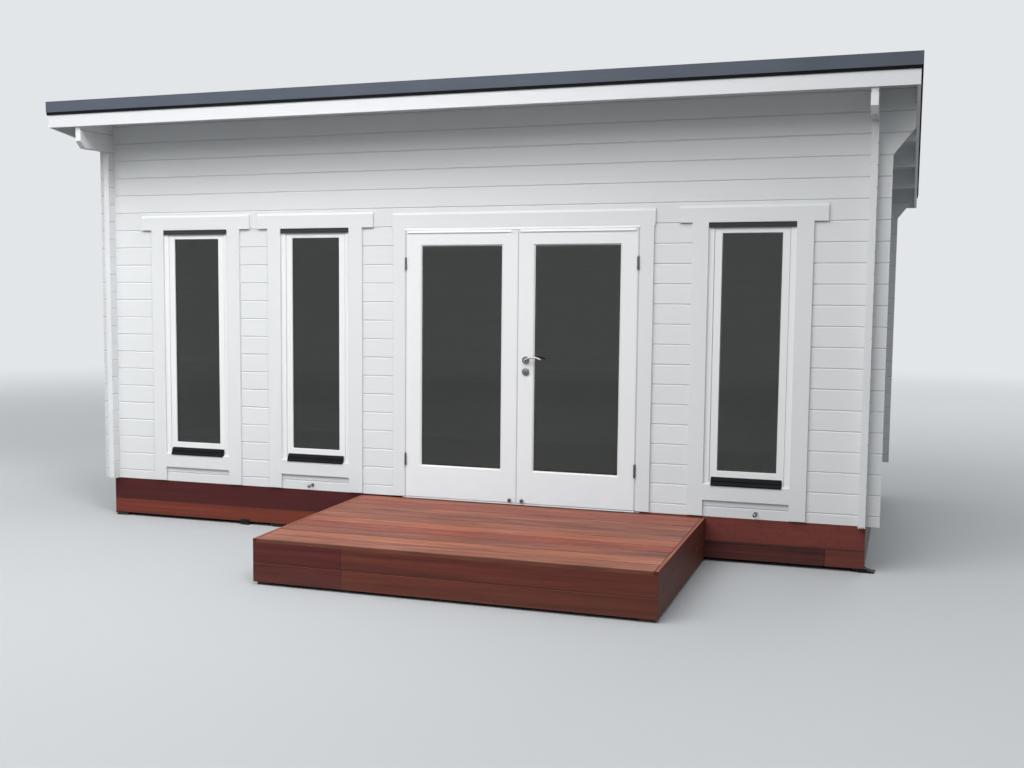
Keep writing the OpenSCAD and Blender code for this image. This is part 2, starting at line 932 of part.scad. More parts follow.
// The two upright trim boards, from just above the wall's bottom to the head board
module trim_uprights(clear, width, top) {
    for (side = [0, 1])
        mirror([side, 0, 0])
            span([clear / 2, -trim_t, trim_foot], [clear / 2 + width, 0, top]);
}

// Frame in the logs, with a stop behind the sash and a flange inside
module window_frames() {
    member = [window_frame_w, window_frame_w, window_frame_head];
    stop = [for (m = member) m + sash_stop_w];
    back = log_t + inner_flange_t;
    flange = [for (m = member) m + inner_flange_reach];
    color("white")
        at_wall()
            each_window() {
                rect_frame(window_w, window_sill_z, window_head, member, 0, log_t);
                rect_frame(window_w, window_sill_z, window_head, stop, sash_back + sash_t, back);
                rect_frame(window_w + 2 * inner_flange_reach, window_sill_z - inner_flange_reach,
                    window_head + inner_flange_reach, flange, log_t, back);
            }
}

module window_sashes() {
    color("white")
        at_wall()
            each_window()
                difference() {
                    rect_frame(sash_w, sash_z0, sash_z1, [sash_stile, sash_bottom, sash_top],
                        sash_back, sash_back + sash_t);
                    window_pane();
                }
}

// Glass unit in the middle of the sash
module window_pane() {
    y0 = sash_back + (sash_t - glass_t) / 2;
    x1 = sash_w / 2 - sash_stile + glass_bite;
    span([-x1, y0, sash_z0 + sash_bottom - glass_bite], [x1, y0 + glass_t, sash_z1 - sash_top + glass_bite]);
}

module window_glass() {
    color("lightsteelblue") at_wall() each_window() window_pane();
}

// Profile that sheds rain below the glass: a lip, two ribs and a back
module sill_drip() {
    z0 = apron_z + apron_h;
    lip = sash_back - sill_reach;
    upper = -trim_t + sill_rib;
    translate([-sill_w / 2, 0, z0])
        rotate([90, 0, 90])
            linear_extrude(sill_w)
                polygon([
                    [0, 0],
                    [-trim_t, 0],
                    [lip, -2 * sill_rib],
                    [lip, sill_rib / 2],
                    [-trim_t, sill_h / 4],
                    [-trim_t, sill_h / 3],
                    [upper, sill_h / 3 + sill_rib / 2],
                    [upper, sill_h / 2 + sill_rib],
                    [upper + sill_rib, sill_h / 2 + 2 * sill_rib],
                    [sash_back, sill_h],
                    [sash_back, sash_z0 - z0],
                    [0, sash_z0 - z0]
                ]);
}

// Bar that closes the head of the frame under the head board
module head_drip() {
    half = window_w / 2 - window_trim_lap;
    span([-half, -head_drip_t, window_head - window_frame_head], [half, 0, window_head]);
}

module window_drips() {
    color("black")
        at_wall()
            each_window() {
                sill_drip();
                head_drip();
            }
}

// Door frame

// Jambs, head and threshold, with a stop behind the leaves and a flange inside
module door_frame() {
    member = [jamb_w, threshold_sink + threshold_top, door_head_h];
    stop = member + [door_stop_w, 0, door_stop_w];
    flange = [jamb_w + inner_flange_reach, 0, door_head_h + inner_flange_reach];
    back = log_t + inner_flange_t;
    color("white")
        at_wall()
            translate([door_x, 0, 0])
                difference() {
                    union() {
                        rect_frame(door_rough_w, -threshold_sink, door_opening_head, member, 0, log_t);
                        rect_frame(door_rough_w, -threshold_sink, door_opening_head, stop,
                            -trim_t + leaf_t + leaf_gap, back);
                        rect_frame(door_rough_w + 2 * inner_flange_reach, floor_t,
                            door_opening_head + inner_flange_reach, flange, log_t, back);
                        span([-door_clear_w / 2, -trim_t, threshold_top - threshold_nose],
                            [door_clear_w / 2, 0, threshold_top]);
                    }
                    span([-door_rough_w, log_t, -base_h], [door_rough_w, back + EPS, floor_t]);
                }
}

module door_trim() {
    clear = door_clear_w + 2 * door_trim_reveal;
    head_half = clear / 2 + door_trim_w + door_ear;
    color("white")
        at_wall()
            translate([door_x, 0, 0])
                union() {
                    trim_uprights(clear, door_trim_w, door_head_trim_z);
                    span([-head_half, -trim_t, door_head_trim_z],
                        [head_half, 0, door_head_trim_z + head_trim_h]);
                }
}

// Steel ball on a pin that an open leaf comes to rest against
module door_stop() {
    rotate([90, 0, 0]) {
        cylinder(d = catch_d, h = catch_d / 6);
        cylinder(d = catch_d / 3, h = stop_reach - catch_d / 2);
        translate([0, 0, stop_reach - catch_d / 2]) sphere(d = catch_d);
    }
}

module door_stops() {
    color("silver")
        at_wall() {
            translate([left_pin_x - stop_distances[0], 0, stop_z]) door_stop();
            translate([right_pin_x + stop_distances[1], 0, stop_z]) door_stop();
        }
}

// Hinges: the frame's half carries the pin, and a leaf's half turns on it

// Plate in the gap and the tongue that joins it to its knuckle
module hinge_plate(x0, z0, z1) {
    span([x0, -trim_t, -hinge_l / 2], [x0 + hinge_plate_t, -trim_t + hinge_plate_w, hinge_l / 2]);
    span([x0, pin_y, z0], [x0 + hinge_plate_t, -trim_t + EPS, z1]);
}

// dir is 1 where the leaf lies to the right of the pin
module frame_hinge(dir) {
    x0 = dir > 0 ? -leaf_gap / 2 : leaf_gap / 2 - hinge_plate_t;
    translate([0, pin_y, -hinge_l / 2]) cylinder(d = hinge_pin_d, h = hinge_l);
    translate([0, pin_y, 0]) cylinder(d = hinge_d, h = hinge_l / 2);
    hinge_plate(x0, 0, hinge_l / 2);
}

module leaf_hinge(dir) {
    x0 = dir > 0 ? leaf_gap / 2 - hinge_plate_t : -leaf_gap / 2;
    difference() {
        union() {
            translate([0, pin_y, -hinge_l / 2]) cylinder(d = hinge_d, h = hinge_l / 2 - hinge_play);
            hinge_plate(x0, -hinge_l / 2, -hinge_play);
        }
        translate([0, pin_y, -hinge_l]) cylinder(d = hinge_pin_d + 2 * hinge_play, h = 2 * hinge_l);
    }
}

module frame_hinges() {
    color("silver")
        at_wall()
            for (z = hinge_zs) {
                translate([left_pin_x, 0, z]) frame_hinge(1);
                translate([right_pin_x, 0, z]) frame_hinge(-1);
            }
}

// Door leaves

// Leaf with its left edge at x = 0, its outer face level with the trim
module leaf() {
    y0 = -trim_t;
    difference() {
        span([0, y0, leaf_z], [leaf_w, y0 + leaf_t, leaf_z + leaf_h]);
        translate([leaf_w / 2, 0, 0])
            span([-leaf_w / 2 + leaf_stile, y0 - EPS, leaf_z + leaf_bottom],
                [leaf_w / 2 - leaf_stile, y0 + leaf_t + EPS, leaf_z + leaf_h - leaf_top]);
        leaf_pane();
        leaf_bevels();
    }
}

// Slanted glazing edge round the glass, on the outside
module leaf_bevels() {
    x0 = leaf_stile;
    x1 = leaf_w - leaf_stile;
    z0 = leaf_z + leaf_bottom;
    z1 = leaf_z + leaf_h - leaf_top;
    for (x = [x0, x1])
        translate([x, -trim_t, z0 - leaf_bevel])
            linear_extrude(z1 - z0 + 2 * leaf_bevel)
                bevel();
    for (z = [z0, z1])
        translate([x0 - leaf_bevel, -trim_t, z])
            rotate([90, 0, 90])
                linear_extrude(x1 - x0 + 2 * leaf_bevel)
                    rotate(90) mirror([0, 1]) bevel();
}

// Section that the bevels take out, with its tip in the leaf at y = leaf_bevel
module bevel() {
    polygon([
        [-leaf_bevel, 0],
        [-leaf_bevel, -EPS],
        [leaf_bevel, -EPS],
        [leaf_bevel, 0],
        [0, leaf_bevel]
    ]);
}

module leaf_pane() {
    y0 = -trim_t + (leaf_t - glass_t) / 2;
    span([leaf_stile - glass_bite, y0, leaf_z + leaf_bottom - glass_bite],
        [leaf_w - leaf_stile + glass_bite, y0 + glass_t, leaf_z + leaf_h - leaf_top + glass_bite]);
}

module left_leaf() {
    color("white") at_wall() translate([left_leaf_x, 0, 0]) leaf();
}

module left_glass() {
    color("lightsteelblue") at_wall() translate([left_leaf_x, 0, 0]) leaf_pane();
}

// Catch button near the foot of a leaf
module catch_button() {
    rotate([90, 0, 0]) {
        cylinder(d = catch_d / 2, h = catch_reach);
        translate([0, 0, catch_reach / 2]) cylinder(d = catch_d, h = catch_reach / 2);
    }
}

module left_leaf_hardware() {
    color("silver")
        at_wall() {
            for (z = hinge_zs)
                translate([left_pin_x, 0, z]) leaf_hinge(1);
            translate([left_leaf_x + leaf_w - catch_inset, -trim_t, catch_z]) catch_button();
        }
}

module right_leaf() {
    color("white")
        at_wall()
            difference() {
                translate([right_leaf_x, 0, 0]) leaf();
                translate([lever_x, leaf_t, lever_z])
                    rotate([90, 0, 0])
                        cylinder(d = lever_bore_d, h = 2 * leaf_t);
            }
}

module right_glass() {
    color("lightsteelblue") at_wall() translate([right_leaf_x, 0, 0]) leaf_pane();
}

// Roses for the lever and the lock, with the lock's cylinder, on both faces
module right_leaf_hardware() {
    color("silver")
        at_wall() {
            for (z = hinge_zs)
                translate([right_pin_x, 0, z]) leaf_hinge(-1);
            translate([right_leaf_x + catch_inset, -trim_t, catch_z]) catch_button();
            for (y = [-trim_t, -trim_t + leaf_t + rose_t]) {
                translate([lever_x, y, lever_z])
                    rotate([90, 0, 0])
                        difference() {
                            cylinder(d = rose_d, h = rose_t);
                            translate([0, 0, -EPS]) cylinder(d = lever_bore_d, h = rose_t + 2 * EPS);
                        }
                translate([lever_x, y, lever_z - lock_drop])
                    rotate([90, 0, 0]) cylinder(d = rose_d, h = rose_t);
            }
            translate([lever_x, -trim_t - rose_t, lever_z - lock_drop])
                rotate([90, 0, 0]) cylinder(d = lock_core_d, h = rose_t / 2);
        }
}

// Bowed bar from the end of the neck, with round ends
module lever_bow() {
    radius = (pow(lever_l / 2, 2) + pow(lever_rise, 2)) / (2 * lever_rise);
    half_angle = asin(lever_l / 2 / radius);
    for (x = [0, lever_l])
        translate([x, 0, 0]) sphere(d = lever_end_d);
    translate([lever_l / 2, 0, lever_rise - radius])
        rotate([90, 0, 0])
            rotate([0, 0, 90 - half_angle])
                rotate_extrude(angle = 2 * half_angle)
                    translate([radius, 0])
                        circle(d = lever_d);
}

// Lever, neck and spindle as they turn together, from the outer face inwards
module lever_handle() {
    bar_y = lever_reach - lever_d / 2;
    color("silver")
        at_wall()
            translate([lever_x, -trim_t + leaf_t / 2, lever_z])
                for (side = [1, -1])
                    mirror([0, side > 0 ? 0 : 1, 0]) {
                        rotate([90, 0, 0])
                            cylinder(d = lever_d, h = leaf_t / 2 + bar_y);
                        translate([0, -leaf_t / 2 - bar_y, 0])
                            rotate([0, -lever_tilt, 0])
                                lever_bow();
                    }
}

ground_packers();
front_bearer_upper();
front_bearer_lower();
rear_bearers();
side_bearers();
floor_joists();
floor_boards();
front_wall_left();
front_wall_right();
front_wall_top();
rear_wall();
left_wall();
right_wall();
roof_purlins();
roof_boards();
roof_core();
roof_sheet();
front_fascia();
rear_fascia();
barge_boards();
front_flashing();
side_flashings();
rear_flashing();
deck_legs();
deck_rims();
deck_joists();
deck_boards();
deck_front_fascia();
deck_side_fascias();
door_frame();
door_trim();
door_stops();
frame_hinges();
left_leaf();
left_glass();
left_leaf_hardware();
right_leaf();
right_glass();
right_leaf_hardware();
lever_handle();
window_trims();
window_frames();
window_sashes();
window_glass();
window_drips();
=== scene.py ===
# %% [markdown]
# # A garden office pod of interlocking logs
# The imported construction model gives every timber, pane and plate its shape and
# place. This script dresses it: paint, stain, hardwood, steel, glass, and the
# small pieces that are too fine for the construction model.

# %% Load the frame
import json
import math
import random

import bmesh
import bpy
from mathutils import Matrix, Vector

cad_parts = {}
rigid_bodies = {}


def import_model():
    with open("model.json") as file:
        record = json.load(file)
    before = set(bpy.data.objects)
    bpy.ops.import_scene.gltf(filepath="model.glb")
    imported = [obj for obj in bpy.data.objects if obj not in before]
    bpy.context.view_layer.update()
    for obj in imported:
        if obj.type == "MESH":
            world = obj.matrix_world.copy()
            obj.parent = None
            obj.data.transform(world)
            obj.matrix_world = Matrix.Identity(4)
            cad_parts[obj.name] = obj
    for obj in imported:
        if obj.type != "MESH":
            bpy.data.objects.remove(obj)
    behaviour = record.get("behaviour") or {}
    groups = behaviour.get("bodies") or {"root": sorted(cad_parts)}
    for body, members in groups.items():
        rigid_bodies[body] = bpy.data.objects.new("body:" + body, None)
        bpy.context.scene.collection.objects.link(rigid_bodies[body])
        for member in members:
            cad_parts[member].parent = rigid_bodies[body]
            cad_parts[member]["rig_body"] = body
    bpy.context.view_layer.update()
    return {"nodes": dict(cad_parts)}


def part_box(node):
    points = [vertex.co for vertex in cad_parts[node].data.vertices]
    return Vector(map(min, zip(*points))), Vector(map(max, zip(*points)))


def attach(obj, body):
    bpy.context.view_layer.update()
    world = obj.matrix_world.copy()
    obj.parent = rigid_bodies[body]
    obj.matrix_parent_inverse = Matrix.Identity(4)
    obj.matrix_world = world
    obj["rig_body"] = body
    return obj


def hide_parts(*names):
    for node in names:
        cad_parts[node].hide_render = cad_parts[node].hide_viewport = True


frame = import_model()
nodes = frame["nodes"]

# %% [markdown]
# ## Camera
# The photograph was taken from the right of the door at head height. Its place,
# turn and focal length were worked out from the log joints, the door and the
# deck, and the shift stands for the way the photograph was cropped.

# %% Camera
camera_data = bpy.data.cameras.new("camera")
camera_data.sensor_width = 36.0
camera_data.lens = 46.525
camera_data.shift_x = 0.1331
camera_data.shift_y = 0.0194
camera_data.clip_end = 200.0
camera = bpy.data.objects.new("camera", camera_data)
camera.location = (3.061, -9.8535, 1.915)
camera.rotation_euler = (1.474108, 0.0, 0.384753)
bpy.context.scene.collection.objects.link(camera)
bpy.context.scene.camera = camera
print("camera: lens", camera_data.lens, "mm, height", camera.location.z, "m")

# %% [markdown]
# ## Helpers for node trees
# A material is a tree of nodes whose sockets are linked. Written out, each node
# takes several lines, so these helpers add a Math node, a colour mix, a noise or
# an empty material in one line each. A helper takes numbers and sockets alike.

# %% Helpers for node trees
# The Mix node has a set of sockets for each type of data. These are its colours'.
MIX_FACTOR, MIX_FIRST, MIX_SECOND, MIX_RESULT = 0, 6, 7, 2


def add_node(tree, kind, **settings):
    """Adds a shader node and sets its properties."""
    node = tree.nodes.new(kind)
    for name, value in settings.items():
        setattr(node, name, value)
    return node


def math_node(tree, operation, first, second=None, third=None, clamp=False):
    """A Math node; each argument is a number or a socket. Returns its output."""
    node = add_node(tree, "ShaderNodeMath", operation=operation, use_clamp=clamp)
    for socket, value in zip(node.inputs, (first, second, third)):
        if value is None:
            continue
        if isinstance(value, bpy.types.NodeSocket):
            tree.links.new(value, socket)
        else:
            socket.default_value = value
    return node.outputs["Value"]


def mix_colors(tree, factor, first, second):
    """A colour Mix node; each argument is a value or a socket. Returns its output."""
    node = add_node(tree, "ShaderNodeMix", data_type="RGBA")
    for index, value in ((MIX_FACTOR, factor), (MIX_FIRST, first), (MIX_SECOND, second)):
        socket = node.inputs[index]
        if isinstance(value, bpy.types.NodeSocket):
            tree.links.new(value, socket)
        elif isinstance(value, (int, float)):
            socket.default_value = value
        else:
            socket.default_value = (*value, 1.0)
    return node.outputs[MIX_RESULT]


def noise(tree, place, scale, detail):
    """A Noise texture on a position. Returns its value."""
    node = add_node(tree, "ShaderNodeTexNoise")
    node.inputs["Scale"].default_value = scale
    node.inputs["Detail"].default_value = detail
    tree.links.new(place, node.inputs["Vector"])
    return node.outputs["Fac"]


def seen_rays(tree):
    """1 for rays that the eye sees, straight, through glass or as a reflection."""
    path = add_node(tree, "ShaderNodeLightPath")
    seen = math_node(tree, "MAXIMUM", path.outputs["Is Camera Ray"], path.outputs["Is Transmission Ray"])
    return math_node(tree, "MAXIMUM", seen, path.outputs["Is Glossy Ray"])


def new_material(name):
    """An empty node material with its output node."""
    material = bpy.data.materials.new(name)
    material.use_nodes = True
    tree = material.node_tree
    tree.nodes.clear()
    print("material:", name)
    return material, tree, add_node(tree, "ShaderNodeOutputMaterial")


# %% [markdown]
# ## Floor, background and light
# An overcast sky lights a white building evenly: the top of each piece is
# lighter than its underside, and the wall grows darker under the eaves. A plain
# world does that by itself. One wide lamp overhead stands for the brighter part
# of the sky, and one high in front brings out the joints between the logs. A
# weak one in front softens the shadows, and one behind lights the rear. In the
# photograph the left end is the lighter one, also where it faces right, so a
# lamp on the right sends a narrower beam there. The floor looks pale but throws
# back little light, so that the eaves are as dark underneath as over real ground.
# It fades into the background, so no horizon cuts the picture.

# %% World
BACKGROUND = (0.77, 0.79, 0.81)
SKY = (0.93, 0.97, 1.0)
SKY_STRENGTH = 0.37

world = bpy.data.worlds.new("studio")
bpy.context.scene.world = world
world.use_nodes = True
tree = world.node_tree
tree.nodes.clear()
world_output = add_node(tree, "ShaderNodeOutputWorld")
light = add_node(tree, "ShaderNodeBackground")
light.inputs["Color"].default_value = (*SKY, 1.0)
light.inputs["Strength"].default_value = SKY_STRENGTH
shown = add_node(tree, "ShaderNodeBackground")
shown.inputs["Color"].default_value = (*BACKGROUND, 1.0)
chosen = add_node(tree, "ShaderNodeMixShader")
tree.links.new(seen_rays(tree), chosen.inputs[0])
tree.links.new(light.outputs[0], chosen.inputs[1])
tree.links.new(shown.outputs[0], chosen.inputs[2])
tree.links.new(chosen.outputs[0], world_output.inputs["Surface"])
print("world:", len(tree.nodes), "nodes, sky strength", SKY_STRENGTH)

# %% Floor
FLOOR_COLOR = (0.50, 0.515, 0.53)
FLOOR_BOUNCE = (0.165, 0.17, 0.17)
FLOOR_RADIUS = 90.0
FADE_START = 5.0
FADE_END = 20.0

floor_mesh = bpy.data.meshes.new("floor")
bm = bmesh.new()
bmesh.ops.create_circle(bm, cap_ends=True, segments=64, radius=FLOOR_RADIUS)
bm.to_mesh(floor_mesh)
bm.free()
floor = bpy.data.objects.new("floor", floor_mesh)
bpy.context.scene.collection.objects.link(floor)

material, tree, output = new_material("floor")
paper = add_node(tree, "ShaderNodeBsdfPrincipled")
paper.inputs["Roughness"].default_value = 0.9
paper.inputs["Specular IOR Level"].default_value = 0.2
glow = add_node(tree, "ShaderNodeEmission")
glow.inputs["Color"].default_value = (*BACKGROUND, 1.0)
place = add_node(tree, "ShaderNodeTexCoord")
distance = add_node(tree, "ShaderNodeVectorMath", operation="LENGTH")
tree.links.new(place.outputs["Object"], distance.inputs[0])
fade = add_node(tree, "ShaderNodeMapRange", interpolation_type="SMOOTHSTEP")
fade.inputs["From Min"].default_value = FADE_START
fade.inputs["From Max"].default_value = FADE_END
tree.links.new(distance.outputs["Value"], fade.inputs["Value"])
seen = seen_rays(tree)
tree.links.new(mix_colors(tree, seen, FLOOR_BOUNCE, FLOOR_COLOR), paper.inputs["Base Color"])
share = math_node(tree, "MULTIPLY", fade.outputs["Result"], seen)
mixed = add_node(tree, "ShaderNodeMixShader")
tree.links.new(share, mixed.inputs[0])
tree.links.new(paper.outputs[0], mixed.inputs[1])
tree.links.new(glow.outputs[0], mixed.inputs[2])
tree.links.new(mixed.outputs[0], output.inputs["Surface"])
floor.data.materials.append(material)
print("floor: fades from", FADE_START, "to", FADE_END, "m")

# %% Lamps
def area_lamp(name, place, target, size, watts, spread=180.0):
    """A square area lamp that faces a target; spread is the width of its beam in degrees."""
    data = bpy.data.lights.new(name, "AREA")
    data.size = size
    data.energy = watts
    data.spread = math.radians(spread)
    lamp = bpy.data.objects.new(name, data)
    lamp.location = place
    lamp.rotation_euler = (Vector(target) - Vector(place)).to_track_quat("-Z", "Y").to_euler()
    bpy.context.scene.collection.objects.link(lamp)


area_lamp("high_front", (-3.3, -9.2, 10.2), (-0.4, -0.8, 1.6), size=11.0, watts=1220.0)
area_lamp("front_fill", (1.8, -9.0, 6.5), (-2.4, -0.8, 1.4), size=5.0, watts=90.0)
area_lamp("left_end", (4.2, -7.4, 8.6), (-3.5, -0.9, 1.2), size=3.0, watts=45.0, spread=50.0)
area_lamp("overhead", (0.0, 0.5, 12.0), (0.0, 0.5, 0.0), size=12.0, watts=500.0)
area_lamp("high_rear", (4.0, 12.0, 8.0), (0.0, 1.0, 1.5), size=7.0, watts=520.0)

bpy.context.scene.view_settings.view_transform = "Standard"

# %% [markdown]
# ## Shared effects
# Three node groups are used by many finishes. One gives every board or log its
# own random shade and tells how near its edge is, one draws the long streaks and
# the fine fibres of timber, and one puts faint splashes low on the walls. Each is
# built once, so a change to it changes every finish, and puts out only masks and
# heights, so the shader itself stays in the material.

# %% Node group helper
def new_group(name, inputs, outputs):
    """A shader node group. inputs holds (name, socket type, default value)."""
    tree = bpy.data.node_groups.new(name, "ShaderNodeTree")
    for label, kind, default in inputs:
        socket = tree.interface.new_socket(name=label, in_out="INPUT", socket_type=kind)
        socket.default_value = default
    for label in outputs:
        tree.interface.new_socket(name=label, in_out="OUTPUT", socket_type="NodeSocketFloat")
    return tree, add_node(tree, "NodeGroupInput"), add_node(tree, "NodeGroupOutput")


def use_group(tree, group, **values):
    """Places a group in a material. Each value is a number, a tuple or a socket."""
    node = add_node(tree, "ShaderNodeGroup", node_tree=group)
    for name, value in values.items():
        socket = node.inputs[name]
        if isinstance(value, bpy.types.NodeSocket):
            tree.links.new(value, socket)
        else:
            socket.default_value = value
    return node.outputs


# %% Board shade
board_shade, group_in, group_out = new_group(
    "board shade",
    [
        ("Position", "NodeSocketFloat", 0.0),
        ("Pitch", "NodeSocketFloat", 0.1),
        ("First", "NodeSocketFloat", 0.0),
    ],
    ["Shade", "Number", "Edge"],
)
from_first = math_node(board_shade, "SUBTRACT", group_in.outputs["Position"], group_in.outputs["First"])
number = math_node(board_shade, "DIVIDE", from_first, group_in.outputs["Pitch"])
number = math_node(board_shade, "FLOOR", number)
random_value = add_node(board_shade, "ShaderNodeTexWhiteNoise", noise_dimensions="1D")
board_shade.links.new(number, random_value.inputs["W"])
board_shade.links.new(random_value.outputs["Value"], group_out.inputs["Shade"])
board_shade.links.new(number, group_out.inputs["Number"])
across = math_node(board_shade, "MULTIPLY", number, group_in.outputs["Pitch"])
across = math_node(board_shade, "SUBTRACT", from_first, across)
rest = math_node(board_shade, "SUBTRACT", group_in.outputs["Pitch"], across)
board_shade.links.new(math_node(board_shade, "MINIMUM", across, rest), group_out.inputs["Edge"])
print("board shade:", len(board_shade.nodes), "nodes")

# %% Timber grain
timber_grain, group_in, group_out = new_group(
    "timber grain",
    [
        ("Vector", "NodeSocketVector", (0.0, 0.0, 0.0)),
        ("Stretch", "NodeSocketVector", (1.0, 20.0, 20.0)),
        ("Shift", "NodeSocketFloat", 0.0),
    ],
    ["Streaks", "Fibres"],
)
stretched = add_node(timber_grain, "ShaderNodeVectorMath", operation="MULTIPLY")
timber_grain.links.new(group_in.outputs["Vector"], stretched.inputs[0])
timber_grain.links.new(group_in.outputs["Stretch"], stretched.inputs[1])
for output_name, scale, detail, roughness, distortion in (
    ("Streaks", 1.0, 4.0, 0.55, 0.6),
    ("Fibres", 6.0, 5.0, 0.65, 0.2),
):
    lines = add_node(timber_grain, "ShaderNodeTexNoise", noise_dimensions="4D")
    lines.inputs["Scale"].default_value = scale
    lines.inputs["Detail"].default_value = detail
    lines.inputs["Roughness"].default_value = roughness
    lines.inputs["Distortion"].default_value = distortion
    timber_grain.links.new(stretched.outputs[0], lines.inputs["Vector"])
    timber_grain.links.new(group_in.outputs["Shift"], lines.inputs["W"])
    timber_grain.links.new(lines.outputs["Fac"], group_out.inputs[output_name])
print("timber grain:", len(timber_grain.nodes), "nodes")

# %% Splashes near the ground
splash_marks, group_in, group_out = new_group(
    "splash marks",
    [
        ("Vector", "NodeSocketVector", (0.0, 0.0, 0.0)),
        ("Lowest", "NodeSocketFloat", 0.0),
        ("Reach", "NodeSocketFloat", 0.5),
    ],
    ["Mask"],
)
parts = add_node(splash_marks, "ShaderNodeSeparateXYZ")
splash_marks.links.new(group_in.outputs["Vector"], parts.inputs[0])
raised = math_node(splash_marks, "SUBTRACT", parts.outputs["Z"], group_in.outputs["Lowest"])
near = math_node(splash_marks, "DIVIDE", raised, group_in.outputs["Reach"])
near = math_node(splash_marks, "SUBTRACT", 1.0, near, clamp=True)
near = math_node(splash_marks, "POWER", near, 2.0)
patches = noise(splash_marks, group_in.outputs["Vector"], scale=9.0, detail=6.0)
splash_marks.links.new(math_node(splash_marks, "MULTIPLY", near, patches), group_out.inputs["Mask"])
print("splash marks:", len(splash_marks.nodes), "nodes")

# %% [markdown]
# ## White paint
# The logs and boards are spruce under an opaque satin paint. Up close the
# brushed paint shows fine streaks along the board, each log is a little lighter
# or darker than the next, and rain lifts some soil onto the lowest logs. The grain
# runs along X on the front and rear, along Y on the sides, and along Z on
# upright boards, so the maker below takes the axis of the timber. The joint
# between two logs gets painted shade, for the V-groove in shadow, but only on
# their long faces, so the maker also takes the axis that those faces look along.
# Where the pitch is ONE_BOARD, which is more than the pod measures, the whole piece has one shade.

# %% Painted timber
PAINT_GRAIN = (1.2, 34.0)
PAINT_ROUGHNESS = (0.18, 0.36)
PAINT_RELIEF = (0.22, 0.0012)
STREAK_RELIEF = 0.6
# Painted shade for the joints between logs.
JOINT_PAINTED_SHADE = (0.36, 0.37, 0.37)
JOINT_STRENGTH = 0.25
JOINT_W = 0.004
LONG_FACE = 0.3
WALL_SOIL = (0.46, 0.43, 0.38)
WALL_SOIL_STRENGTH = 0.22
SPLASH_BOTTOM = 0.28
SPLASH_REACH = 0.5
WALL_BOTTOM = 0.305
LOG_HEIGHT = 0.135
ONE_BOARD = 9.0


def grain_along(axis, along, across):
    """How much the grain is squeezed along and across an axis, for each of X, Y and Z."""
    return tuple(along if name == axis else across for name in "XYZ")


def bump_from(tree, height, strength, distance):
    """A Bump node on a height. Returns its normal."""
    bump = add_node(tree, "ShaderNodeBump")
    bump.inputs["Strength"].default_value = strength
    bump.inputs["Distance"].default_value = distance
    tree.links.new(height, bump.inputs["Height"])
    return bump.outputs["Normal"]


def painted_timber(name, color, axis, first=WALL_BOTTOM, pitch=ONE_BOARD, contrast=0.012, joints=None):
    """White paint on timber along an axis; joints is the axis that the long faces of logs look along."""
    material, tree, output = new_material(name)
    coordinates = add_node(tree, "ShaderNodeTexCoord")
    place = coordinates.outputs["Object"]
    parts = add_node(tree, "ShaderNodeSeparateXYZ")
    tree.links.new(place, parts.inputs[0])
    shade = use_group(tree, board_shade, Position=parts.outputs["Z"], Pitch=pitch, First=first)
    stretch = grain_along(axis, *PAINT_GRAIN)
    grain = use_group(tree, timber_grain, Vector=place, Stretch=stretch, Shift=shade["Number"])
    splash = use_group(tree, splash_marks, Vector=place, Lowest=SPLASH_BOTTOM, Reach=SPLASH_REACH)
    darker = tuple(c * (1.0 - 2.0 * contrast) for c in color)
    streaked = mix_colors(tree, shade["Shade"], color, darker)
    worn = tuple(c * (1.0 - 3.0 * contrast) for c in color)
    streaked = mix_colors(tree, math_node(tree, "MULTIPLY", grain["Streaks"], 0.5), streaked, worn)
    # Painted shade: darkens the joints between logs on their long faces, where the V-groove lies in shadow.
    if joints:
        normal = add_node(tree, "ShaderNodeSeparateXYZ")
        tree.links.new(coordinates.outputs["Normal"], normal.inputs[0])
        facing = math_node(tree, "ABSOLUTE", normal.outputs[joints])
        on_face = math_node(tree, "GREATER_THAN", facing, LONG_FACE)
        joint = math_node(tree, "MULTIPLY_ADD", shade["Edge"], -1.0 / JOINT_W, 1.0, clamp=True)
        joint = math_node(tree, "MULTIPLY", joint, math_node(tree, "MULTIPLY", on_face, JOINT_STRENGTH))
        streaked = mix_colors(tree, joint, streaked, JOINT_PAINTED_SHADE)
    soil = math_node(tree, "MULTIPLY", splash["Mask"], WALL_SOIL_STRENGTH)
    soiled = mix_colors(tree, soil, streaked, WALL_SOIL)
    paint = add_node(tree, "ShaderNodeBsdfPrincipled")
    tree.links.new(soiled, paint.inputs["Base Color"])
    rough = math_node(tree, "MULTIPLY_ADD", grain["Fibres"], *PAINT_ROUGHNESS)
    tree.links.new(rough, paint.inputs["Roughness"])
    height = math_node(tree, "MULTIPLY_ADD", grain["Streaks"], STREAK_RELIEF, grain["Fibres"])
    tree.links.new(bump_from(tree, height, *PAINT_RELIEF), paint.inputs["Normal"])
    tree.links.new(paint.outputs[0], output.inputs["Surface"])
    return material


# %% [markdown]
# ## White finishes
# The front and rear logs lie half a log lower than the side logs, so their
# shades start half a log lower too. One paint covers the whole pod, but under
# these lamps the joinery gets a brighter white than the walls, as painted light,
# and the fascias a slightly duller one, as painted shade.

# %% White finishes
WHITE = (0.80, 0.81, 0.82)
# Painted light: the walls' paint, made brighter for the joinery.
JOINERY_PAINTED_LIGHT_WHITE = (0.89, 0.89, 0.90)
# Painted shade: the walls' paint, made duller for the fascias.
FASCIA_PAINTED_SHADE_WHITE = (0.735, 0.745, 0.76)
LOG_CONTRAST = 0.018

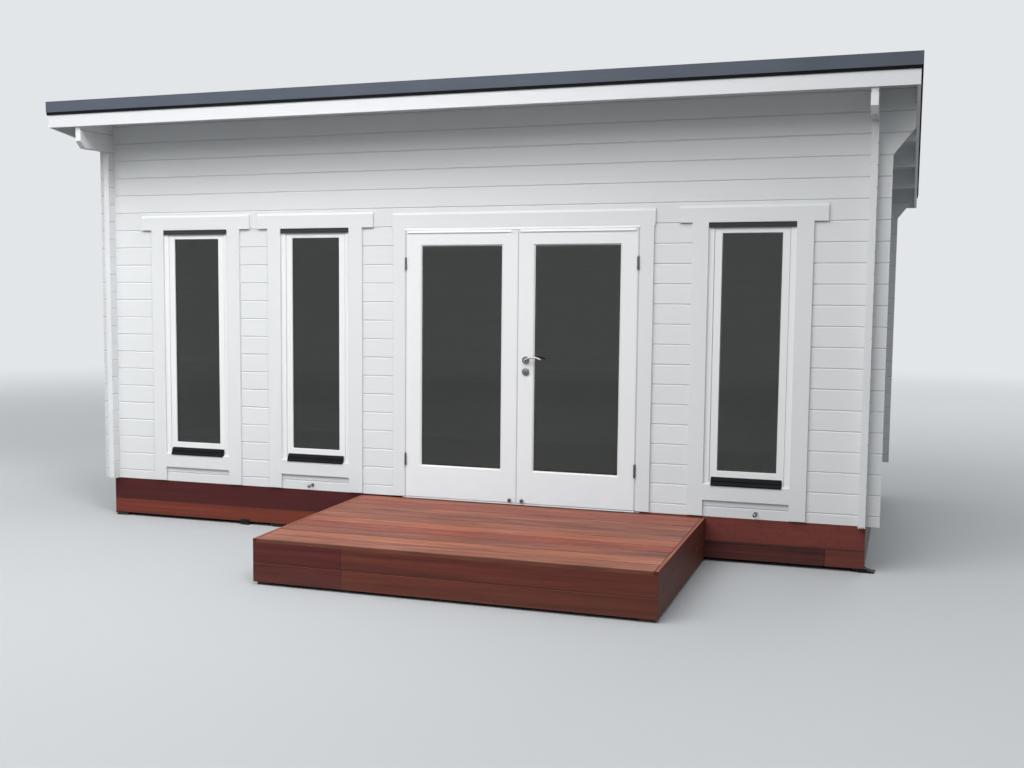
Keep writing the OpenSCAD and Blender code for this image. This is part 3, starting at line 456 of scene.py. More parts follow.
white_front_logs = painted_timber(
    "white_front_logs", WHITE, "X",
    first=WALL_BOTTOM - LOG_HEIGHT / 2, pitch=LOG_HEIGHT, contrast=LOG_CONTRAST, joints="Y",
)
white_side_logs = painted_timber(
    "white_side_logs", WHITE, "Y", pitch=LOG_HEIGHT, contrast=LOG_CONTRAST, joints="X",
)
white_boards_x = painted_timber("white_boards_along_x", WHITE, "X")
white_fascias_painted_shade = painted_timber("white_fascias_painted_shade", FASCIA_PAINTED_SHADE_WHITE, "X")
white_boards_y = painted_timber("white_boards_along_y", WHITE, "Y")
white_uprights = painted_timber("white_uprights", WHITE, "Z")
white_joinery = painted_timber("white_joinery", JOINERY_PAINTED_LIGHT_WHITE, "Z")

# %% [markdown]
# ## Stained and bare timber
# All timber that isn't painted is darker along the streaks of its grain. An
# image of real wood would repeat on every board and need its own mapping, so
# one maker draws the grain from noise on the place of each point. It takes the
# two tones of a timber and the axis and pitch at which one board ends and the
# next one starts. Boards laid end to end either start at given places along X,
# each with its own tones, or have random joints one board length apart. A
# second light tone makes some boards warmer than others, and painted shade
# darkens the seams between them, where the gaps lie in shadow.

# %% Timber maker
STREAK_CONTRAST = (3.2, -1.1)
FIBRE_CONTRAST = (0.5, -0.25)
WOOD_RELIEF = (0.35, 0.002)
WOOD_STREAK_RELIEF = 0.8
ROUGHNESS_RANGE = 0.3
ROW_STEP = 31.0
BLOTCH_CONTRAST = (6.0, -3.3)
SEAM_SHARPNESS = 110.0
# Painted shade for the seams between boards.
SEAM_PAINTED_SHADE = (0.05, 0.018, 0.014)
BLOTCH_SHADE = (0.05, 0.016, 0.014)
GROUND_SOIL = (0.10, 0.08, 0.06)
GROUND_SOIL_REACH = 0.35


def timber(
    name, light, dark, stretch, axis="Z", first=0.0, pitch=ONE_BOARD, spread=0.5,
    roughness=0.55, soil=0.0, blotches=0.0, beyond=(), board_length=0.0, seams=0.0, bounce=None, warm=None,
):
    """Timber with visible grain between a light and a dark tone.

    Boards meet along axis, from first on, one pitch apart, and spread is the share
    of its tone that a board has to itself. Past each place along X in beyond, the
    two tones that go with it take over. warm is a second light tone, seams, soil
    and blotches are strengths from 0 to 1, and bounce is the colour that the
    timber shows to bounced light.
    """
    material, tree, output = new_material(name)
    place = add_node(tree, "ShaderNodeTexCoord").outputs["Object"]
    parts = add_node(tree, "ShaderNodeSeparateXYZ")
    tree.links.new(place, parts.inputs[0])
    shade = use_group(tree, board_shade, Position=parts.outputs[axis], Pitch=pitch, First=first)
    number, own_shade = shade["Number"], shade["Shade"]
    if board_length:
        along = math_node(tree, "MULTIPLY_ADD", shade["Shade"], board_length, parts.outputs["X"])
        ends = use_group(tree, board_shade, Position=along, Pitch=board_length)
        number = math_node(tree, "MULTIPLY_ADD", ends["Number"], ROW_STEP, number)
        own = add_node(tree, "ShaderNodeTexWhiteNoise", noise_dimensions="1D")
        tree.links.new(number, own.inputs["W"])
        own_shade = own.outputs["Value"]
    grain = use_group(tree, timber_grain, Vector=place, Stretch=stretch, Shift=number)
    streaks = math_node(tree, "MULTIPLY_ADD", grain["Streaks"], *STREAK_CONTRAST, clamp=True)
    tone = math_node(tree, "MULTIPLY", streaks, 1.0 - spread)
    tone = math_node(tree, "MULTIPLY_ADD", own_shade, spread, tone)
    fibres = math_node(tree, "MULTIPLY_ADD", grain["Fibres"], *FIBRE_CONTRAST)
    tone = math_node(tree, "ADD", tone, fibres, clamp=True)
    for start, next_light, next_dark in beyond:
        past = math_node(tree, "GREATER_THAN", parts.outputs["X"], start)
        light = mix_colors(tree, past, light, next_light)
        dark = mix_colors(tree, past, dark, next_dark)
    if warm:
        warmth = add_node(tree, "ShaderNodeTexWhiteNoise", noise_dimensions="1D")
        tree.links.new(math_node(tree, "ADD", number, 0.5), warmth.inputs["W"])
        light = mix_colors(tree, warmth.outputs["Value"], light, warm)
    color = mix_colors(tree, tone, light, dark)
    # Painted shade along the seams between boards, for the shadow in the gaps.
    if seams:
        seam = math_node(tree, "MULTIPLY_ADD", shade["Edge"], -SEAM_SHARPNESS, 1.0, clamp=True)
        color = mix_colors(tree, math_node(tree, "MULTIPLY", seam, seams), color, SEAM_PAINTED_SHADE)
    if blotches:
        spots = noise(tree, place, scale=26.0, detail=4.0)
        spot = math_node(tree, "MULTIPLY_ADD", spots, *BLOTCH_CONTRAST, clamp=True)
        color = mix_colors(tree, math_node(tree, "MULTIPLY", spot, blotches), color, BLOTCH_SHADE)
    if soil:
        splash = use_group(tree, splash_marks, Vector=place, Lowest=0.0, Reach=GROUND_SOIL_REACH)
        color = mix_colors(tree, math_node(tree, "MULTIPLY", splash["Mask"], soil), color, GROUND_SOIL)
    if bounce:
        path = add_node(tree, "ShaderNodeLightPath")
        color = mix_colors(tree, path.outputs["Is Diffuse Ray"], color, bounce)
    wood = add_node(tree, "ShaderNodeBsdfPrincipled")
    tree.links.new(color, wood.inputs["Base Color"])
    smoothest = roughness - ROUGHNESS_RANGE / 2
    rough = math_node(tree, "MULTIPLY_ADD", grain["Fibres"], ROUGHNESS_RANGE, smoothest)
    tree.links.new(rough, wood.inputs["Roughness"])
    wood.inputs["Specular IOR Level"].default_value = 0.2
    height = math_node(tree, "MULTIPLY_ADD", grain["Streaks"], WOOD_STREAK_RELIEF, grain["Fibres"])
    tree.links.new(bump_from(tree, height, *WOOD_RELIEF), wood.inputs["Normal"])
    tree.links.new(wood.outputs[0], output.inputs["Surface"])
    return material


# %% [markdown]
# ## Deck finishes
# The deck is oiled hardwood whose boards differ in tone. Its fascias get painted
# shade on their faces, a far darker colour for the less light there, and the
# boards' brighter colour on their top edges. In the photograph the white door shows hardly any red from the
# deck. So, other than in nature, the deck shows a greyer colour to the light that bounces
# off it than to the eye.

# %% Deck finishes
DECK_PITCH = 0.1763
DECK_HALF_GAP = 0.0015
DECK_BUTT_JOINT = -0.09
BOARD_JOINT_Z = 0.140
DECK_BOUNCE = (0.27, 0.24, 0.25)
DECK_GRAIN = (1.9, 24.0)
FASCIA_GRAIN = (0.9, 30.0)
RIM_LIT_TONES = ((0.44, 0.130, 0.072), (0.19, 0.060, 0.045))

deck_timber = timber(
    "deck_timber", (0.48, 0.108, 0.056), (0.125, 0.045, 0.040), grain_along("X", *DECK_GRAIN),
    axis="Y", first=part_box("deck_boards")[0].y - DECK_HALF_GAP, pitch=DECK_PITCH, spread=0.38,
    seams=0.8, bounce=DECK_BOUNCE, warm=(0.46, 0.175, 0.098),
)
# The lit tops of the deck fascias, as bright as the deck boards.
deck_rim_lit_x = timber("deck_rim_lit_along_x", *RIM_LIT_TONES, grain_along("X", *DECK_GRAIN), bounce=DECK_BOUNCE)
deck_rim_lit_y = timber("deck_rim_lit_along_y", *RIM_LIT_TONES, grain_along("Y", *DECK_GRAIN), bounce=DECK_BOUNCE)
# Painted shade: the front fascia's faces, far darker than their lit tops.
deck_face_shaded_x = timber(
    "deck_fascia_painted_shade", (0.130, 0.028, 0.024), (0.058, 0.012, 0.012), grain_along("X", *FASCIA_GRAIN),
    first=BOARD_JOINT_Z, spread=0.35, soil=0.4, seams=0.6,
    beyond=[(DECK_BUTT_JOINT, (0.175, 0.044, 0.028), (0.070, 0.017, 0.013))],
)
# Painted shade: the side fascias' faces, far darker than their lit tops.
deck_face_shaded_y = timber(
    "deck_side_painted_shade", (0.112, 0.024, 0.012), (0.046, 0.009, 0.006), grain_along("Y", *FASCIA_GRAIN),
    first=BOARD_JOINT_Z, soil=0.4, seams=0.6,
)

# %% [markdown]
# ## Bearer finishes
# The bearer boards under the front wall carry a red-brown stain that each board
# took up differently. They change tone where the deck hides them, and the lower
# one again at its butt joint. The boards at the sides and the rear were left to
# turn grey.

# %% Bearer finishes
BEARER_TONE_CHANGE = 0.6
BEARER_BUTT_JOINT = 2.585
GREY_TONES = ((0.30, 0.28, 0.26), (0.15, 0.14, 0.13))
GREY_GRAIN = (1.1, 26.0)

stained_upper = timber(
    "stained_upper", (0.090, 0.016, 0.017), (0.052, 0.010, 0.011), grain_along("X", 1.1, 24.0),
    first=BOARD_JOINT_Z, soil=0.2, blotches=0.35, seams=0.9,
    beyond=[(BEARER_TONE_CHANGE, (0.215, 0.052, 0.042), (0.140, 0.033, 0.028))],
)
stained_lower = timber(
    "stained_lower", (0.225, 0.044, 0.026), (0.125, 0.024, 0.016), grain_along("X", 0.7, 44.0),
    first=BOARD_JOINT_Z, spread=0.2, soil=0.3, seams=0.9,
    beyond=[
        (BEARER_TONE_CHANGE, (0.102, 0.022, 0.020), (0.016, 0.004, 0.004)),
        (BEARER_BUTT_JOINT, (0.175, 0.044, 0.034), (0.100, 0.026, 0.021)),
    ],
)
grey_boards_x = timber(
    "grey_boards_along_x", *GREY_TONES, grain_along("X", *GREY_GRAIN), roughness=0.75, soil=0.5,
)
grey_boards_y = timber(
    "grey_boards_along_y", *GREY_TONES, grain_along("Y", *GREY_GRAIN), roughness=0.75, soil=0.5,
)

# %% [markdown]
# ## Plain timber
# The joists and the deck's frame are plain softwood, and its legs are pressure
# treated and greener. The floor is laid from boards 12 cm wide with random
# joints, so that it doesn't look like one plate through the glass.

# %% Plain timber
SOFTWOOD_TONES = ((0.62, 0.47, 0.29), (0.42, 0.28, 0.15))
SOFTWOOD_GRAIN = (1.2, 22.0)
FLOOR_BOARD_W = 0.12
FLOOR_BOARD_LENGTH = 2.1

softwood_x = timber("softwood_along_x", *SOFTWOOD_TONES, grain_along("X", *SOFTWOOD_GRAIN), roughness=0.7)
softwood_y = timber("softwood_along_y", *SOFTWOOD_TONES, grain_along("Y", *SOFTWOOD_GRAIN), roughness=0.7)
treated_uprights = timber(
    "treated_uprights", (0.16, 0.12, 0.07), (0.08, 0.06, 0.035), grain_along("Z", *SOFTWOOD_GRAIN),
    roughness=0.75, soil=0.6,
)
floor_timber = timber(
    "floor_timber", (0.60, 0.46, 0.30), (0.40, 0.27, 0.16), grain_along("X", 1.0, 24.0),
    axis="Y", pitch=FLOOR_BOARD_W, spread=0.55, roughness=0.4, board_length=FLOOR_BOARD_LENGTH,
)

# %% [markdown]
# ## Metal, plastic and foam
# The flashings and the ribbed sheet are folded from coated steel with a matt
# skin. The lever is brushed stainless steel, the roses and stops are a greyer
# steel, the hinges are dark zinc, and the drip profiles and glazing seals black.
# All of them are one smooth skin with a faint mottling, so one maker serves them
# and takes the colour, the roughness and the size of the bumps.

# %% Maker for smooth skins
MOTTLING = 0.15
SKIN_RELIEF = 0.0006
SKIN_ROUGHNESS_RANGE = 0.2


def coated(name, color, roughness, metallic=0.0, grain=180.0, bump=0.08, specular=0.5):
    """A smooth skin with a faint mottling; grain is the scale of its fine bumps, bump their strength."""
    material, tree, output = new_material(name)
    place = add_node(tree, "ShaderNodeTexCoord").outputs["Object"]
    clouds = noise(tree, place, scale=2.3, detail=5.0)
    peel = noise(tree, place, scale=grain, detail=2.0)
    skin = add_node(tree, "ShaderNodeBsdfPrincipled")
    darker = tuple(c * (1.0 - 2.0 * MOTTLING) for c in color)
    tree.links.new(mix_colors(tree, clouds, color, darker), skin.inputs["Base Color"])
    skin.inputs["Metallic"].default_value = metallic
    skin.inputs["Specular IOR Level"].default_value = specular
    smoothest = roughness - SKIN_ROUGHNESS_RANGE / 2
    rough = math_node(tree, "MULTIPLY_ADD", clouds, SKIN_ROUGHNESS_RANGE, smoothest)
    tree.links.new(rough, skin.inputs["Roughness"])
    tree.links.new(bump_from(tree, peel, bump, SKIN_RELIEF), skin.inputs["Normal"])
    tree.links.new(skin.outputs[0], output.inputs["Surface"])
    return material


# %% Metal, plastic and foam
slate_steel = coated("slate_steel", (0.089, 0.104, 0.134), 0.55, specular=0.3)
black_coat = coated("black_profile", (0.006, 0.006, 0.008), 0.6, specular=0.12)
dark_coat = coated("dark_profile", (0.042, 0.043, 0.047), 0.6, specular=0.25)
brushed_steel = coated("brushed_steel", (0.46, 0.455, 0.45), 0.24, metallic=1.0, grain=700.0)
grey_steel = coated("grey_steel", (0.25, 0.25, 0.255), 0.26, metallic=1.0, grain=700.0)
dark_steel = coated("dark_steel", (0.17, 0.17, 0.175), 0.38, metallic=1.0, grain=500.0)
white_rubber = coated("white_rubber", (0.66, 0.67, 0.67), 0.6, grain=300.0)
packer_plastic = coated("packer_plastic", (0.010, 0.0095, 0.009), 0.6, specular=0.2)
packer_wood = coated("packer_wood", (0.17, 0.11, 0.07), 0.75, grain=90.0, bump=0.3)
foam_board = coated("foam_board", (0.72, 0.68, 0.52), 0.85, grain=420.0, bump=0.3)
black_foam = coated("black_foam", (0.010, 0.010, 0.012), 0.9, grain=420.0, bump=0.3, specular=0.1)

# %% [markdown]
# ## Glass
# Real glass lets daylight into the room, but a path tracer seldom finds its way
# through two panes. So rays that only carry light pass straight through, and
# rays that the eye sees meet real glass with its reflections. A very shallow
# bump makes those reflections as slightly wavy as in a real pane.

# %% Glass
material, tree, output = new_material("window_glass_clear")
glass = add_node(tree, "ShaderNodeBsdfPrincipled")
# The pane's colour is far darker than clear glass: painted shade that dims the room seen through it.
glass.inputs["Base Color"].default_value = (0.44, 0.455, 0.425, 1.0)
glass.inputs["Roughness"].default_value = 0.0
glass.inputs["IOR"].default_value = 1.5
glass.inputs["Specular IOR Level"].default_value = 0.2
glass.inputs["Transmission Weight"].default_value = 1.0
place = add_node(tree, "ShaderNodeTexCoord").outputs["Object"]
waves = noise(tree, place, scale=1.6, detail=2.0)
tree.links.new(bump_from(tree, waves, strength=0.05, distance=0.002), glass.inputs["Normal"])
clear = add_node(tree, "ShaderNodeBsdfTransparent")
clear.inputs["Color"].default_value = (0.75, 0.78, 0.76, 1.0)
path = add_node(tree, "ShaderNodeLightPath")
carries_light = math_node(tree, "MAXIMUM", path.outputs["Is Shadow Ray"], path.outputs["Is Diffuse Ray"])
both = add_node(tree, "ShaderNodeMixShader")
tree.links.new(carries_light, both.inputs[0])
tree.links.new(glass.outputs[0], both.inputs[1])
tree.links.new(clear.outputs[0], both.inputs[2])
tree.links.new(both.outputs[0], output.inputs["Surface"])
clear_glass = material

# %% [markdown]
# ## Finishes for the construction nodes
# Each node of the frame gets its finish by name. A table is easier to read than
# one line for each node, and the count below shows whether one was forgotten.

# %% Assign finishes
finishes = {
    white_front_logs: ("front_wall_left", "front_wall_right", "front_wall_top", "rear_wall"),
    white_side_logs: ("left_wall", "right_wall"),
    white_boards_x: ("roof_purlins", "roof_boards"),
    white_fascias_painted_shade: ("front_fascia", "rear_fascia"),
    white_boards_y: ("barge_boards",),
    white_uprights: ("door_trim", "window_trims"),
    white_joinery: ("door_frame", "left_leaf", "right_leaf", "window_frames", "window_sashes"),
    stained_upper: ("front_bearer_upper",),
    stained_lower: ("front_bearer_lower",),
    grey_boards_x: ("rear_bearers",),
    grey_boards_y: ("side_bearers",),
    softwood_x: ("deck_rims",),
    softwood_y: ("floor_joists", "deck_joists"),
    treated_uprights: ("deck_legs",),
    floor_timber: ("floor_boards",),
    deck_timber: ("deck_boards",),
    deck_face_shaded_x: ("deck_front_fascia",),
    deck_face_shaded_y: ("deck_side_fascias",),
    slate_steel: ("roof_sheet", "front_flashing", "side_flashings", "rear_flashing"),
    foam_board: ("roof_core",),
    packer_plastic: ("ground_packers",),
    black_coat: ("window_drips",),
    brushed_steel: ("lever_handle",),
    grey_steel: ("door_stops", "left_leaf_hardware", "right_leaf_hardware"),
    dark_steel: ("frame_hinges",),
    clear_glass: ("left_glass", "right_glass", "window_glass"),
}
for finish, names in finishes.items():
    for name in names:
        nodes[name].data.materials.clear()
        nodes[name].data.materials.append(finish)
dressed = sum(len(names) for names in finishes.values())
print("finishes:", len(finishes), "on", dressed, "of", len(nodes), "nodes")

# %% [markdown]
# ## Eased edges
# Planed boards never have knife edges: the corners are eased by one to three
# millimetres, and that thin facet catches the light. The construction boards
# are exact boxes, so each one that shows is copied, its triangles are joined
# into flat faces, and its sharp edges are bevelled. A Bevel modifier could do
# the last step too, but the operator keeps all steps in one place. The copy then
# stands for the node.

# %% Helper for eased edges
SHARP = math.radians(30.0)
FLAT = math.radians(1.0)
MERGE = 0.00001


def slope_top(bm, depth, height):
    """Cuts a slope off the top front edge of the highest boards in a bmesh."""
    front = min(vert.co.y for vert in bm.verts)
    top = max(vert.co.z for vert in bm.verts)
    bmesh.ops.bisect_plane(
        bm, geom=bm.verts[:] + bm.edges[:] + bm.faces[:], dist=MERGE,
        plane_co=(0.0, front, top - height), plane_no=(0.0, -height, depth), clear_outer=True,
    )
    bmesh.ops.holes_fill(bm, edges=[edge for edge in bm.edges if edge.is_boundary], sides=0)


def ease_edges(name, width, turned=False, slope=None):
    """A copy of a construction node with bevels of a width, which replaces the node.

    A turned part is shaded smooth, and slope is the depth and height of the slope
    on its highest boards.
    """
    source = nodes[name]
    bm = bmesh.new()
    bm.from_mesh(source.data)
    bmesh.ops.remove_doubles(bm, verts=bm.verts, dist=MERGE)
    bmesh.ops.dissolve_limit(bm, angle_limit=FLAT, verts=bm.verts, edges=bm.edges)
    if slope:
        slope_top(bm, *slope)
    sharp = [edge for edge in bm.edges if edge.is_manifold and edge.calc_face_angle() > SHARP]
    bmesh.ops.bevel(
        bm, geom=sharp, offset=width, offset_type="OFFSET", segments=2, profile=0.5,
        affect="EDGES", clamp_overlap=True, material=-1,
    )
    if turned:
        for face in bm.faces:
            face.smooth = True
        for edge in bm.edges:
            edge.smooth = edge.is_manifold and edge.calc_face_angle() < SHARP
    mesh = bpy.data.meshes.new(name + "_eased")
    bm.to_mesh(mesh)
    bm.free()
    mesh.materials.append(source.data.materials[0])
    piece = bpy.data.objects.new(name + "_eased", mesh)
    bpy.context.scene.collection.objects.link(piece)
    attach(piece, source["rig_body"])
    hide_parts(name)
    return piece


# %% [markdown]
# ## Head boards
# The head boards over the door and windows are sloped at the top front edge to
# shed the rain. A plane cuts the corner off, the cut is closed again, and all
# edges of the trims are eased.

# %% Sloped head boards
HEAD_SLOPE = (0.014, 0.016)
TRIM_EASE = 0.002

for name in ("door_trim", "window_trims"):
    piece = ease_edges(name, TRIM_EASE, slope=HEAD_SLOPE)
    print(name, "sloped and eased:", len(piece.data.polygons), "faces")

# %% [markdown]
# ## Boards and joinery
# Heavy boards are eased more than joinery. A table holds each width with its
# pieces, because nothing else differs between them.

# %% Eased boards and joinery
EASED = {
    0.003: (
        "deck_boards", "deck_front_fascia", "deck_side_fascias", "front_bearer_upper", "front_bearer_lower",
    ),
    0.002: ("left_leaf", "right_leaf", "front_fascia", "rear_fascia", "barge_boards"),
    0.0015: ("window_sashes", "window_frames", "door_frame", "window_drips", "roof_purlins"),
}
for width, names in EASED.items():
    for name in names:
        piece = ease_edges(name, width)
        print(name, "eased:", len(piece.data.polygons), "faces")

# %% [markdown]
# ## Pieces with two finishes
# The fascias of the deck are one timber in two colours for how the light falls:
# painted shade on their faces, and on top the brighter colour of the boards beside
# them. The profiles over the windows are a little greyer than the black sills. Both pieces get a second
# material slot, and each face picks its slot by where it looks or lies.

# %% Tops of the deck fascias and profiles over the windows
for name, rim in (("deck_front_fascia", deck_rim_lit_x), ("deck_side_fascias", deck_rim_lit_y)):
    fascia = bpy.data.objects[name + "_eased"].data
    fascia.materials.append(rim)
    for face in fascia.polygons:
        face.material_index = int(face.normal.z > 0.5)
    print(name, "faces on top:", sum(face.material_index for face in fascia.polygons))

SILLS_BELOW = 1.5
drips = bpy.data.objects["window_drips_eased"].data
drips.materials.append(dark_coat)
for face in drips.polygons:
    face.material_index = int(face.center.z > SILLS_BELOW)
print("profiles over the windows:", sum(face.material_index for face in drips.polygons), "faces")

# %% [markdown]
# ## Hardware
# Hinges, roses, stops and plates are bevelled like the boards, but shaded smooth
# between their sharp edges, so that round steel looks round. On the leaves'
# hardware only the hinge knuckles are dark zinc, so faces near the hinge pins
# take that finish.

# %% Turned hardware
PIN_REACH = 0.035
STEEL_EASE = 0.0008

pin_box_low, pin_box_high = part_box("frame_hinges")
for name in ("door_stops", "frame_hinges", "left_leaf_hardware", "right_leaf_hardware"):
    piece = ease_edges(name, STEEL_EASE, turned=True)
    if name.endswith("leaf_hardware"):
        piece.data.materials.append(dark_steel)
        for face in piece.data.polygons:
            from_pins = min(face.center.x - pin_box_low.x, pin_box_high.x - face.center.x)
            face.material_index = int(from_pins < PIN_REACH)
    print(name, "turned:", len(piece.data.polygons), "faces")

# %% [markdown]
# ## Sealed glass units
# The construction model fills each opening with one block. The real unit is two
# 4 mm sheets with a metal spacer between them, held by a black seal on both
# faces. Each block is read from the frame, and its two sheets, spacer and seals
# are made as frames around the same opening. The helpers below serve this piece
# and all later ones: a scaled cube, a frame of four cubes, a bevel on all edges,
# and the steps that turn a bmesh into a finished piece. Pieces that only touch
# are kept a HAIR apart, so that no two faces lie in one plane.

# %% Helpers for new pieces
HAIR = 0.0002
SOFT_EASE = 0.001


def block(bm, low, high):
    """Adds a box between two corners to a bmesh. Returns its vertices."""
    size = [h - l for l, h in zip(low, high)]
    middle = [(l + h) / 2 for l, h in zip(low, high)]
    matrix = Matrix.Translation(middle) @ Matrix.Diagonal((*size, 1.0))
    return bmesh.ops.create_cube(bm, size=1.0, matrix=matrix)["verts"]


def ring(bm, low, high, width):
    """Adds a flat frame in the XZ plane, its members width wide, to a bmesh."""
    block(bm, low, (high[0], high[1], low[2] + width))
    block(bm, (low[0], low[1], high[2] - width), high)
    block(bm, (low[0], low[1], low[2] + width), (low[0] + width, high[1], high[2] - width))
    block(bm, (high[0] - width, low[1], low[2] + width), (high[0], high[1], high[2] - width))


def round_edges(bm, width):
    """Bevels every edge of a bmesh that holds boxes or plates."""
    bmesh.ops.bevel(
        bm, geom=list(bm.edges), offset=width, offset_type="OFFSET", segments=2, profile=0.5,
        affect="EDGES", clamp_overlap=True, material=-1,
    )


def finish_piece(bm, name, material, body, *replaced, slot=None):
    """Turns a bmesh into a piece that rides on a body and stands for some nodes."""
    bmesh.ops.recalc_face_normals(bm, faces=bm.faces)
    mesh = bpy.data.meshes.new(name)
    bm.to_mesh(mesh)
    bm.free()
    mesh.materials.append(material)
    piece = bpy.data.objects.new(name, mesh)
    bpy.context.scene.collection.objects.link(piece)
    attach(piece, body)
    if replaced:
        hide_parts(*replaced)
    print(name + ":", len(mesh.polygons), "faces")


# %% Glass units
SHEET = 0.004
SEAL_T = 0.0012
SEAL_REACH = 0.015
SPACER_SHOWN = 0.005
GLASS_BITE = 0.012
WINDOW_CENTRES = (-2.065, -1.058, 2.076)


def glass_units(name, boxes, body):
    """Sheets, spacers and seals for the blocks in boxes, as three pieces."""
    sheets, spacers, seals = bmesh.new(), bmesh.new(), bmesh.new()
    for low, high in boxes:
        block(sheets, low, (high.x, low.y + SHEET, high.z))
        block(sheets, (low.x, high.y - SHEET, low.z), high)
        inside = ((low.x, low.y + SHEET, low.z), (high.x, high.y - SHEET, high.z))
        ring(spacers, *inside, SEAL_REACH + SPACER_SHOWN)
        for y in (low.y - SEAL_T, high.y):
            ring(seals, (low.x, y, low.z), (high.x, y + SEAL_T, high.z), SEAL_REACH)
    finish_piece(sheets, name + "_sheets", clear_glass, body, name, slot="pane")
    finish_piece(spacers, name + "_spacers", brushed_steel, body, slot="steel")
    finish_piece(seals, name + "_seals", black_coat, body, slot="black_profile")


window_low, window_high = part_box("window_glass")
half_pane = WINDOW_CENTRES[0] - window_low.x
window_boxes = [
    (
        Vector((x - half_pane, window_low.y, window_low.z)),
        Vector((x + half_pane, window_high.y, window_high.z)),
    )
    for x in WINDOW_CENTRES
]
glass_units("window_glass", window_boxes, "root")
glass_units("left_glass", [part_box("left_glass")], "left_door")
glass_units("right_glass", [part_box("right_glass")], "right_door")

# %% [markdown]
# ## Glazing beads
# A mitred bead holds each window pane from outside, with a slope that sheds the
# rain. It starts as a plate that fills the opening in front of the glass. Its
# front and back faces are inset, the inner edge of the front is pushed back to
# the glass, and the middle is taken out.

# %% Window beads
BEAD_REACH = 0.002
BEAD_SETBACK = 0.001


def bead(bm, low, high, reach):
    """Adds a mitred frame of triangular section to a bmesh, sloping in to the back."""
    verts = block(bm, low, high)
    bm.normal_update()
    faces = {face for vert in verts for face in vert.link_faces}
    caps = [face for face in faces if abs(face.normal.y) > 0.9]
    bmesh.ops.inset_individual(bm, faces=caps, thickness=reach, use_even_offset=True)
    inner = list({vert for face in caps for vert in face.verts})
    for vert in inner:
        vert.co.y = high[1]
    bmesh.ops.delete(bm, geom=caps, context="FACES_ONLY")
    bmesh.ops.remove_doubles(bm, verts=inner, dist=MERGE)


sash_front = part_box("window_sashes")[0].y
bm = bmesh.new()
for low, high in window_boxes:
    bead(
        bm, (low.x + GLASS_BITE, sash_front + BEAD_SETBACK, low.z + GLASS_BITE),
        (high.x - GLASS_BITE, low.y - HAIR, high.z - GLASS_BITE), BEAD_REACH,
    )
finish_piece(bm, "window_beads", white_joinery, "root", slot="white_joinery")

# %% [markdown]
# ## Weather seals
# The gaps round the leaves and sashes are closed by pale rubber strips just
# behind the face, which is why they show only as faint lines. The strips of the
# jambs reach from the leaf to the trim and stop short of the hinges. Every strip
# is a box with round edges that leaves room for the leaf that turns past it.

# %% Door jamb seals
SEAL_BACK = 0.0015
SEAL_DEPTH = 0.007
SEAL_PLAY = 0.0006
TRIM_REVEAL = 0.010
HINGE_HALF = 0.048
HINGE_HEIGHTS = (0.585, 2.0)

left_low, left_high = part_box("left_leaf")
right_low, right_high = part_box("right_leaf")
seal_y = (left_low.y + SEAL_BACK, left_low.y + SEAL_BACK + SEAL_DEPTH)
seal_x = (
    (left_low.x - TRIM_REVEAL + HAIR, left_low.x - SEAL_PLAY),
    (right_high.x + SEAL_PLAY, right_high.x + TRIM_REVEAL - HAIR),
)
stretches = (
    (left_low.z, HINGE_HEIGHTS[0] - HINGE_HALF),
    (HINGE_HEIGHTS[0] + HINGE_HALF, HINGE_HEIGHTS[1] - HINGE_HALF),
    (HINGE_HEIGHTS[1] + HINGE_HALF, left_high.z),
)
bm = bmesh.new()
for z0, z1 in stretches:
    for x0, x1 in seal_x:
        block(bm, (x0, seal_y[0], z0), (x1, seal_y[1], z1))
round_edges(bm, SOFT_EASE)
finish_piece(bm, "door_seals", white_rubber, "root", slot="white_joinery")

# %% [markdown]
# ## Drip mould over the leaves
# A white drip mould lies between the leaves and the head board. Its upper half
# is fixed to the frame and its lower half caps each leaf, with a gap of more
# than a millimetre between them, so that the leaves can turn. One face slopes
# outwards over both halves: the sky lights it brightly, and the rain drips off
# in front of the leaf. Each half is a bar with its front edges pulled out.

# %% Drip mould
MOULD_GAP = 0.0015
MOULD_TOP_OUT = 0.0
MOULD_MIDDLE_OUT = 0.005
MOULD_BOTTOM_OUT = 0.010
MOULD_END_GAP = 0.001
CAP_H = 0.018
CAP_TOP_DROP = 0.0005
MOULD_EASE = 0.0006
LEFT_CAP_INSETS = (0.010, 0.048)
RIGHT_CAP_INSETS = (0.014, 0.014)
TRIM_T = 0.020
HEAD_BOARD_H = 0.112

trim_low, trim_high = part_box("door_trim")
head_board_z = trim_high.z - HEAD_BOARD_H
wall_face = trim_low.y + TRIM_T


def mould(name, body, low, high, bottom_out, top_out):
    """A bar whose front face slopes out from the trim's face."""
    bm = bmesh.new()
    for vert in block(bm, low, high):
        if vert.co.y < (low[1] + high[1]) / 2:
            out = top_out if vert.co.z > (low[2] + high[2]) / 2 else bottom_out
            vert.co.y = trim_low.y - out
    round_edges(bm, MOULD_EASE)
    finish_piece(bm, name, white_joinery, body, slot="white_joinery")


mould(
    "frame_mould", "root",
    (left_low.x - TRIM_REVEAL + MOULD_END_GAP, trim_low.y, left_high.z + MOULD_GAP),
    (right_high.x + TRIM_REVEAL - MOULD_END_GAP, wall_face - HAIR, head_board_z - HAIR),
    MOULD_MIDDLE_OUT, MOULD_TOP_OUT,
)
for name, body, low, high, insets in (
    ("left_mould", "left_door", left_low, left_high, LEFT_CAP_INSETS),
    ("right_mould", "right_door", right_low, right_high, RIGHT_CAP_INSETS),
):
    mould(
        name, body, (low.x + insets[0], low.y - MOULD_BOTTOM_OUT, high.z - CAP_H),
        (high.x - insets[1], low.y - HAIR, high.z - CAP_TOP_DROP), MOULD_BOTTOM_OUT, MOULD_MIDDLE_OUT,
    )

